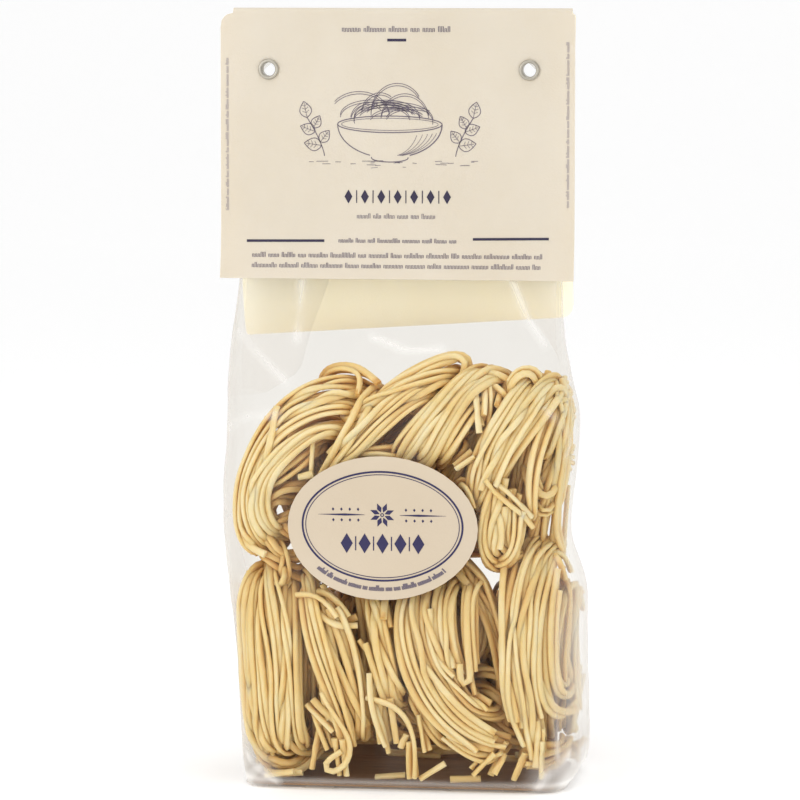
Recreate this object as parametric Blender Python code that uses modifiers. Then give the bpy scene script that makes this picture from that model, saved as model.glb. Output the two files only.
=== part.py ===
"""A clear film bag of spaghetti nests, closed by a folded header card with two metal eyelets.

Metres, +Z up. The pack stands on its flat block bottom and its front faces -Y. The origin is in
the middle of the pack's width and depth, on the surface that it stands on.
"""

import math
from collections import namedtuple

import bmesh
import bpy

MM = 0.001

# Clearances between pieces that touch on the real pack, wider along the card's faceted film
GAP = 0.3
CARD_GAP = 0.5

# Driving dimensions in millimetres: the pack, its header card and the film neck inside the card
PACK_HEIGHT = 242.3
CARD_LEFT = -58.0
CARD_RIGHT = 53.9
CARD_THICKNESS = 0.5
CARD_FRONT_BOTTOM = 157.5
CARD_BACK_BOTTOM_LEFT = 138.0
CARD_BACK_BOTTOM_RIGHT = 144.8
CARD_BACK_INSET_LEFT = 4.7
CARD_BACK_INSET_RIGHT = 1.6
CARD_CORNER_LEFT = 4.0
CARD_CORNER_RIGHT = 1.0
CARD_BACK_CORNER = 4.0
CARD_TAPER_LENGTH = 60.0
NECK_HALF = 0.6
NECK_TOP = 240.3

# Eyelets, pressed through the card and the neck
EYELET_PLACES = {"eyelet_left": -42.7, "eyelet_right": 39.6}
EYELET_HEIGHT = 223.1
EYELET_BORE_RADIUS = 2.15
EYELET_TUBE_RADIUS = 2.45
EYELET_FLANGE_RADIUS = 3.25
EYELET_FLANGE_THICKNESS = 0.5
EYELET_LIP = 0.25

# Oval paper sticker on the bag's front
LABEL_MIDDLE = (-2.5, 82.4)
LABEL_HALF_WIDTH = 29.7
LABEL_HALF_HEIGHT = 22.4
LABEL_THICKNESS = 0.35

# Sections of the filled bag: the ends of its width, the depth of its front and back walls, and
# how square its corners are (2 is an ellipse, more is squarer)
Section = namedtuple("Section", "height left right front back squareness")
SECTIONS = (
    Section(0.0, -47.8, 53.7, 29.5, 29.5, 9.0),
    Section(5.0, -48.9, 57.3, 32.2, 32.2, 8.0),
    Section(20.0, -50.1, 58.1, 33.0, 33.0, 6.5),
    Section(43.0, -51.7, 57.3, 33.0, 33.0, 5.5),
    Section(60.0, -53.9, 57.1, 31.5, 32.0, 5.0),
    Section(79.0, -56.1, 52.1, 29.5, 30.5, 4.6),
    Section(97.0, -55.7, 54.1, 31.0, 31.5, 4.6),
    Section(113.0, -55.0, 55.3, 30.5, 31.0, 4.4),
    Section(130.0, -55.7, 52.3, 23.5, 23.0, 4.0),
    Section(144.0, -54.9, 51.1, 10.0, 13.2, 4.0),
    Section(158.0, -53.1, 50.7, 3.2, 8.8, 5.0),
    Section(172.0, -52.1, 49.5, 0.9, 4.6, 6.0),
    Section(186.0, -51.3, 48.7, NECK_HALF, NECK_HALF, 9.0),
    Section(NECK_TOP, -51.3, 48.7, NECK_HALF, NECK_HALF, 9.0),
)

# Where single nests push the front and back walls out: across, height, radius and rise
Bulge = namedtuple("Bulge", "across height radius rise")
BULGES = (
    Bulge(-33.3, 104.0, 20.0, 1.8),
    Bulge(12.7, 104.0, 18.0, 1.6),
    Bulge(38.7, 104.0, 14.0, 1.6),
    Bulge(-39.3, 36.0, 13.0, 1.5),
    Bulge(-15.3, 34.0, 13.0, 1.2),
    Bulge(13.7, 36.0, 16.0, 1.6),
    Bulge(41.7, 40.0, 14.0, 1.5),
)

# The side gussets fold inwards below the neck
TUCK_DEPTH = 1.5
TUCK_HEIGHT = 146.0
TUCK_REACH = 20.0

# Rows and columns of the bag's surface, the card's sheet and the label
BAG_COLUMNS = 16
BAG_DEPTH_COLUMNS = 6
FOOT_ROWS = (1.2, 3.0, 6.0)
BODY_ROWS_FROM = 11.0
BODY_ROWS_TO = 186.0
BODY_ROWS = 31
NECK_ROWS = (205.0,)
CARD_COLUMNS = 8
CARD_ROWS_BELOW_FOLD = (0.0, 0.5, 1.2, 2.4, 4.5, 30.0, 52.0, 58.0, 64.0, 70.0, 76.0)
CARD_ROWS_ABOVE_END = (12.0, 8.0, 4.0, 2.2, 1.0, 0.3, 0.0)
CARD_FOLD_STEPS = 6
LABEL_RINGS = 6
LABEL_SIDES = 44
EYELET_SIDES = 28
HOLE_SIDES = 32
HOLE_DEPTH = 12.0


def slope_at(heights, values, index):
    """Slope of a smooth curve at one of its points, level where the values turn back."""
    if index in (0, len(heights) - 1):
        return 0.0
    below = (values[index] - values[index - 1]) / (heights[index] - heights[index - 1])
    above = (values[index + 1] - values[index]) / (heights[index + 1] - heights[index])
    if below * above <= 0.0:
        return 0.0
    return 2.0 * below * above / (below + above)


def section_value(name, height):
    """One measure of the bag at a height, on a smooth curve through the sections."""
    heights = [section.height for section in SECTIONS]
    values = [getattr(section, name) for section in SECTIONS]
    if height <= heights[0]:
        return values[0]
    if height >= heights[-1]:
        return values[-1]
    lower = max(i for i, known in enumerate(heights) if known <= height)
    span = heights[lower + 1] - heights[lower]
    t = (height - heights[lower]) / span
    start = slope_at(heights, values, lower) * span
    end = slope_at(heights, values, lower + 1) * span
    blend = t * t * (3.0 - 2.0 * t)
    rise = values[lower + 1] - values[lower]
    return values[lower] + blend * rise + start * t * (1.0 - t) ** 2 - end * t * t * (1.0 - t)


def wall_bulge(x, z):
    """How far the nests behind a point push a wall out."""
    return sum(
        bulge.rise * math.exp(-((x - bulge.across) ** 2 + (z - bulge.height) ** 2) / bulge.radius**2)
        for bulge in BULGES
    )


def bag_point(u, v, z):
    """Point of the bag for a point of its square cage: u across and v back, from -1 to 1."""
    left = section_value("left", z)
    right = section_value("right", z)
    power = section_value("squareness", z)
    reach = max(abs(u), abs(v))
    across = 0.0
    back = 0.0
    if reach > 0.0:
        rounding = ((abs(u) / reach) ** power + (abs(v) / reach) ** power) ** (-1.0 / power)
        across = u * rounding
        back = v * rounding
    x = (left + right) / 2.0 + across * (right - left) / 2.0
    tuck = TUCK_DEPTH * math.exp(-(((z - TUCK_HEIGHT) / TUCK_REACH) ** 2))
    if z > SECTIONS[-2].height:
        tuck = 0.0
    x -= math.copysign(tuck * (1.0 - abs(back)) * abs(across) ** 6, u)
    depth = section_value("back" if back > 0.0 else "front", z)
    y = back * depth + math.copysign(wall_bulge(x, z) * abs(back) ** 6, back)
    return (x * MM, y * MM, z * MM)


def front_wall(x, z):
    """Depth coordinate of the bag's front wall at a point seen from the front."""
    left = section_value("left", z)
    right = section_value("right", z)
    power = section_value("squareness", z)
    across = (x - (left + right) / 2.0) / ((right - left) / 2.0)
    back = (1.0 - abs(across) ** power) ** (1.0 / power)
    return -back * section_value("front", z) - wall_bulge(x, z) * back**6


def principled(name, colour, roughness, metallic=0.0, alpha=1.0):
    """Plain material with a colour, a roughness, a metallic value and an alpha."""
    material = bpy.data.materials.new(name)
    material.use_nodes = True
    shader = material.node_tree.nodes["Principled BSDF"]
    shader.inputs["Base Color"].default_value = (*colour, 1.0)
    shader.inputs["Roughness"].default_value = roughness
    shader.inputs["Metallic"].default_value = metallic
    shader.inputs["Alpha"].default_value = alpha
    return material


def new_object(name, mesh_maker, material, collection):
    """Object whose mesh is what mesh_maker leaves in a new bmesh."""
    mesh = bpy.data.meshes.new(name)
    cage = bmesh.new()
    mesh_maker(cage)
    cage.to_mesh(mesh)
    cage.free()
    mesh.materials.append(material)
    piece = bpy.data.objects.new(name, mesh)
    collection.objects.link(piece)
    return piece


def cut_across(cage, place, normal):
    """Adds a ring of edges round the cage in a plane."""
    everything = cage.verts[:] + cage.edges[:] + cage.faces[:]
    bmesh.ops.bisect_plane(cage, geom=everything, plane_co=place, plane_no=normal)


def make_bag(cage):
    """The filled bag: a cut-up box whose points move to the bag's rounded sections."""
    bmesh.ops.create_cube(cage, size=2.0)
    for column in range(1, BAG_COLUMNS):
        cut_across(cage, (-1.0 + 2.0 * column / BAG_COLUMNS, 0, 0), (1, 0, 0))
    for column in range(1, BAG_DEPTH_COLUMNS):
        cut_across(cage, (0, -1.0 + 2.0 * column / BAG_DEPTH_COLUMNS, 0), (0, 1, 0))
    step = (BODY_ROWS_TO - BODY_ROWS_FROM) / (BODY_ROWS - 1)
    body_rows = tuple(BODY_ROWS_FROM + step * row for row in range(BODY_ROWS))
    for row in FOOT_ROWS + body_rows + NECK_ROWS:
        cut_across(cage, (0, 0, -1.0 + 2.0 * row / NECK_TOP), (0, 0, 1))
    for vert in cage.verts:
        u, v, level = vert.co
        vert.co = bag_point(u, v, (level + 1.0) / 2.0 * NECK_TOP)


def corner_inset(distance, radius):
    """How far a rounded corner's edge lies in from the straight edge, at a distance from its end."""
    if distance >= radius:
        return 0.0
    return radius - math.sqrt(radius**2 - (radius - distance) ** 2)


def card_depth(wall, z):
    """Depth of the middle of the card's sheet over the bag's front or back wall."""
    return max(NECK_HALF, section_value(wall, z)) + CARD_GAP + CARD_THICKNESS / 2.0


def card_rows():
    """Rows of the folded sheet, front bottom edge to back bottom edge: side, height, fold angle."""
    fold_height = PACK_HEIGHT - CARD_THICKNESS / 2.0 - card_depth("front", PACK_HEIGHT)
    heights = [fold_height - drop for drop in CARD_ROWS_BELOW_FOLD]
    front = [("front", z, 0.0) for z in [CARD_FRONT_BOTTOM] + heights[::-1]]
    turns = [math.pi * step / CARD_FOLD_STEPS for step in range(1, CARD_FOLD_STEPS)]
    fold = [("fold", fold_height, turn) for turn in turns]
    back = [("back", z, 0.0) for z in heights]
    back += [("back_end", rest, 0.0) for rest in CARD_ROWS_ABOVE_END]
    return front + fold + back


def card_point(row, t):
    """Point of the card's sheet: its row, and t from 0 at the left end to 1 at the right end."""
    side, z, angle = row
    fold_radius = card_depth("front", PACK_HEIGHT)
    fold_height = PACK_HEIGHT - CARD_THICKNESS / 2.0 - fold_radius
    left = CARD_LEFT
    right = CARD_RIGHT
    if side == "back_end":
        rest = z
        end = CARD_BACK_BOTTOM_LEFT + t * (CARD_BACK_BOTTOM_RIGHT - CARD_BACK_BOTTOM_LEFT)
        z = end + rest
        left += corner_inset(rest, CARD_CORNER_RIGHT)
        right -= corner_inset(rest, CARD_BACK_CORNER)
    if side == "fold":
        y = -fold_radius * math.cos(angle)
        z = fold_height + fold_radius * math.sin(angle)
        drop = 0.0
    elif side == "front":
        y = -card_depth("front", z)
        drop = fold_height - z
    else:
        y = card_depth("back", z)
        drop = fold_height - z
        share = min(1.0, drop / CARD_TAPER_LENGTH)
        left += share * CARD_BACK_INSET_LEFT
        right -= share * CARD_BACK_INSET_RIGHT
    left += corner_inset(drop, CARD_CORNER_LEFT)
    right -= corner_inset(drop, CARD_CORNER_RIGHT)
    return ((left + t * (right - left)) * MM, y * MM, z * MM)


def make_card(cage):
    """The header card's sheet, folded over the neck, its back panel longer and leaning back."""
    rows = card_rows()
    bmesh.ops.create_grid(cage, x_segments=CARD_COLUMNS, y_segments=len(rows) - 1, size=1.0)
    for vert in cage.verts:
        row = rows[round((vert.co.y + 1.0) / 2.0 * (len(rows) - 1))]
        vert.co = card_point(row, (vert.co.x + 1.0) / 2.0)


def make_label(cage):
    """The sticker's sheet: a radius line spun into a disc, laid on the bag's front wall."""
    line = [cage.verts.new((k / LABEL_RINGS, 0.0, 0.0)) for k in range(LABEL_RINGS + 1)]
    edges = [cage.edges.new(pair) for pair in zip(line, line[1:])]
    around = {"cent": (0, 0, 0), "axis": (0, 0, 1), "angle": 2.0 * math.pi}
    bmesh.ops.spin(cage, geom=line + edges, steps=LABEL_SIDES, **around)
    bmesh.ops.remove_doubles(cage, verts=cage.verts[:], dist=1e-4)
    for vert in cage.verts:
        x = LABEL_MIDDLE[0] + vert.co.x * LABEL_HALF_WIDTH
        z = LABEL_MIDDLE[1] + vert.co.y * LABEL_HALF_HEIGHT
        y = front_wall(x, z) - GAP - LABEL_THICKNESS / 2.0
        vert.co = (x * MM, y * MM, z * MM)


def make_eyelet(cage):
    """Profile of an eyelet: a tube with a flange at each end, down its outside and up its bore."""
    half = NECK_HALF + CARD_GAP + CARD_THICKNESS + GAP + EYELET_FLANGE_THICKNESS
    under = half - EYELET_FLANGE_THICKNESS
    profile = (
        (EYELET_BORE_RADIUS + EYELET_LIP, half),
        (EYELET_FLANGE_RADIUS - EYELET_LIP, half),
        (EYELET_FLANGE_RADIUS, half - EYELET_LIP),
        (EYELET_FLANGE_RADIUS, under),
        (EYELET_TUBE_RADIUS, under),
        (EYELET_TUBE_RADIUS, -under),
        (EYELET_FLANGE_RADIUS, -under),
        (EYELET_FLANGE_RADIUS, EYELET_LIP - half),
        (EYELET_FLANGE_RADIUS - EYELET_LIP, -half),
        (EYELET_BORE_RADIUS + EYELET_LIP, -half),
        (EYELET_BORE_RADIUS, EYELET_LIP - half),
        (EYELET_BORE_RADIUS, half - EYELET_LIP),
    )
    ring = [cage.verts.new((radius * MM, 0.0, z * MM)) for radius, z in profile]
    for start, end in zip(ring, ring[1:] + ring[:1]):
        cage.edges.new((start, end))


def add_solidify(piece, thickness):
    """Gives an open sheet its thickness, half to each side."""
    wall = piece.modifiers.new("thickness", "SOLIDIFY")
    wall.thickness = thickness * MM
    wall.offset = 0.0
    wall.use_even_offset = True


def add_hole_cutter(name, across, collection):
    """Round cutter along Y for the hole that an eyelet goes through."""
    bpy.ops.mesh.primitive_cylinder_add(
        vertices=HOLE_SIDES,
        radius=(EYELET_TUBE_RADIUS + GAP) * MM,
        depth=HOLE_DEPTH * MM,
        location=(across * MM, 0.0, EYELET_HEIGHT * MM),
        rotation=(math.pi / 2.0, 0.0, 0.0),
    )
    cutter = bpy.context.object
    cutter.name = name
    for owner in cutter.users_collection:
        owner.objects.unlink(cutter)
    collection.objects.link(cutter)
    cutter.hide_render = True
    cutter.display_type = "WIRE"
    return cutter


def cut(piece, cutter):
    """Cuts a hole in a piece."""
    hole = piece.modifiers.new(cutter.name, "BOOLEAN")
    hole.operation = "DIFFERENCE"
    hole.solver = "EXACT"
    hole.object = cutter


def build():
    """Makes the pack's pieces and their materials."""
    for old in list(bpy.data.objects):
        bpy.data.objects.remove(old, do_unlink=True)
    pack = bpy.data.collections.new("spaghetti_nest_pack")
    cutters = bpy.data.collections.new("cutters")
    for collection in (pack, cutters):
        bpy.context.scene.collection.children.link(collection)

    film = principled("clear_film", (0.78, 0.66, 0.42), 0.2, alpha=0.5)
    cream_card = principled("cream_card", (0.80, 0.74, 0.61), 0.75)
    label_paper = principled("label_paper", (0.80, 0.70, 0.55), 0.6)
    eyelet_metal = principled("eyelet_metal", (0.72, 0.70, 0.66), 0.35, metallic=1.0)

    bag = new_object("bag", make_bag, film, pack)
    card = new_object("header_card", make_card, cream_card, pack)
    add_solidify(card, CARD_THICKNESS)
    for name, across in EYELET_PLACES.items():
        hole = add_hole_cutter(name + "_hole", across, cutters)
        cut(bag, hole)
        cut(card, hole)
        eyelet = new_object(name, make_eyelet, eyelet_metal, pack)
        eyelet.location = (across * MM, 0.0, EYELET_HEIGHT * MM)
        eyelet.rotation_euler = (math.pi / 2.0, 0.0, 0.0)
        turn = eyelet.modifiers.new("turn", "SCREW")
        turn.steps = EYELET_SIDES
        turn.render_steps = EYELET_SIDES
        turn.use_merge_vertices = True
        turn.merge_threshold = 0.00001
    label = new_object("label", make_label, label_paper, pack)
    add_solidify(label, LABEL_THICKNESS)


build()
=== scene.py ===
import math
from collections import namedtuple

import bmesh
import bpy
import numpy as np
from mathutils import Matrix, Vector, noise
from mathutils.bvhtree import BVHTree
from mathutils.kdtree import KDTree


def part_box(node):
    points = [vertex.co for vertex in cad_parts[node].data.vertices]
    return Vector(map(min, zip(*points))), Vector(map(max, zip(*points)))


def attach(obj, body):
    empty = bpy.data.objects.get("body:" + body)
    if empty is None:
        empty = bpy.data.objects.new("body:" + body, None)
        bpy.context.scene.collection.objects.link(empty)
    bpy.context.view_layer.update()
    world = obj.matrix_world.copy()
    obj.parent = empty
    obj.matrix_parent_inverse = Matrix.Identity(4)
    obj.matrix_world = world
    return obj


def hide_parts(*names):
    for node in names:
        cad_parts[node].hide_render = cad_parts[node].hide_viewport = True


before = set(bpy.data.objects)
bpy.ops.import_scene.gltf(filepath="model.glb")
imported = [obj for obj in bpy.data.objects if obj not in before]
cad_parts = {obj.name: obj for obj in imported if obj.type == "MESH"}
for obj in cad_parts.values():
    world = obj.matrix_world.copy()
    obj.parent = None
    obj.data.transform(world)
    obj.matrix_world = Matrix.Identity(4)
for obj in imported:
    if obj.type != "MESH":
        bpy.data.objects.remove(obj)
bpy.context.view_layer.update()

MM = 0.001  # lengths are given in millimetres: x across, y to the back, z up

# The nests: thin egg pasta, pressed through a bronze die as flattened strands, cut to about
# 30 cm, wound into nests in locks of a few strands and dried. The nests stand on edge side by
# side in two layers, so their rims and cut ends show through the film.
STRAND_WIDTH = 2.45
STRAND_THICKNESS = 1.6
POINT_STEP = 2.4  # between two points of a strand's centre line
STRAND_GAP = 1.85  # the least between the centre lines of two strands
NEST_SEED = 11

# Each nest: its middle, its lean and turn in degrees, half its height, depth and width, its
# wall, the size of its smallest lock, how far it sweeps aside, and how many locks are wound
Nest = namedtuple("Nest", "middle lean turn height depth half_width wall fill sweep locks")
NESTS = {
    "nest_low_a": Nest((-38, -2, 36), 0, 5, 31, 25, 10.0, 9, 0.8, 0, 6),
    "nest_low_b": Nest((-19, -4, 36), -11, -4, 30, 21, 6.0, 8, 0.8, 4, 3),
    "nest_low_c": Nest((-3, -2, 37), -5, 5, 29, 19, 6.0, 8, 0.8, 3, 3),
    "nest_low_d": Nest((13, -5, 40), -5, -6, 29, 19, 8.0, 9, 0.8, 12, 5),
    "nest_low_e": Nest((44, -1, 40), 2, 12, 33, 24, 8.0, 11, 0.6, 0, 6),
    "nest_low_back_a": Nest((-24, 21.5, 34), 5, 84, 32, 25, 9.5, 22, 0.4, 0, 9),
    "nest_low_back_b": Nest((24, 21, 34), -8, 82, 32, 25, 9.5, 22, 0.4, 0, 9),
    "nest_high_a": Nest((-27, -6, 99), 14, -62, 27, 22, 8.0, 15, 0.35, 0, 9),
    "nest_high_b": Nest((-1, 0, 108), 44, 5, 26, 14, 7.0, 8, 0.8, 0, 4),
    "nest_high_c": Nest((17, -6, 100), 28, -3, 32, 18, 8.0, 9, 0.8, 0, 5),
    "nest_high_d": Nest((39, -2, 101), 16, 8, 32, 22, 8.0, 9, 0.8, 0, 5),
    "nest_high_back_a": Nest((-20, 16, 95), -25, 30, 30, 16, 9.0, 12, 0.7, 0, 5),
    "nest_high_back_b": Nest((17, 19, 98), 10, 80, 33, 32, 8.0, 12, 0.7, 0, 5),
}

# How the locks of a nest are wound
LOCK_TILT = 14.0  # degrees by which a lock turns from its nest
LEAN_SHARE = 0.6  # of that, how much it leans
LOCK_STRANDS = (5, 9)
LOCK_TURNS = (1.05, 1.6)  # round the oval
LOCKS_ACROSS = 0.7  # share of the nest's half width over which the locks lie side by side
LOCK_WANDER_ACROSS = 0.45  # share of the half width
LOCK_WANDER_OUT = 0.35  # share of the wall
LOCK_ROLL = 0.9
LOCK_ROLL_WANDER = 0.6
STRAND_WANDER = 0.8
STRAY_SHARE = 0.2  # of the strands stray, and wander more
STRAY_WANDER = 3.5
CUT_SCATTER = 9  # points by which a lock's strands end apart
LOOSE_POINTS = 14  # points over which an end bends away by up to the next length
LOOSE_END = 4.0

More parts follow.
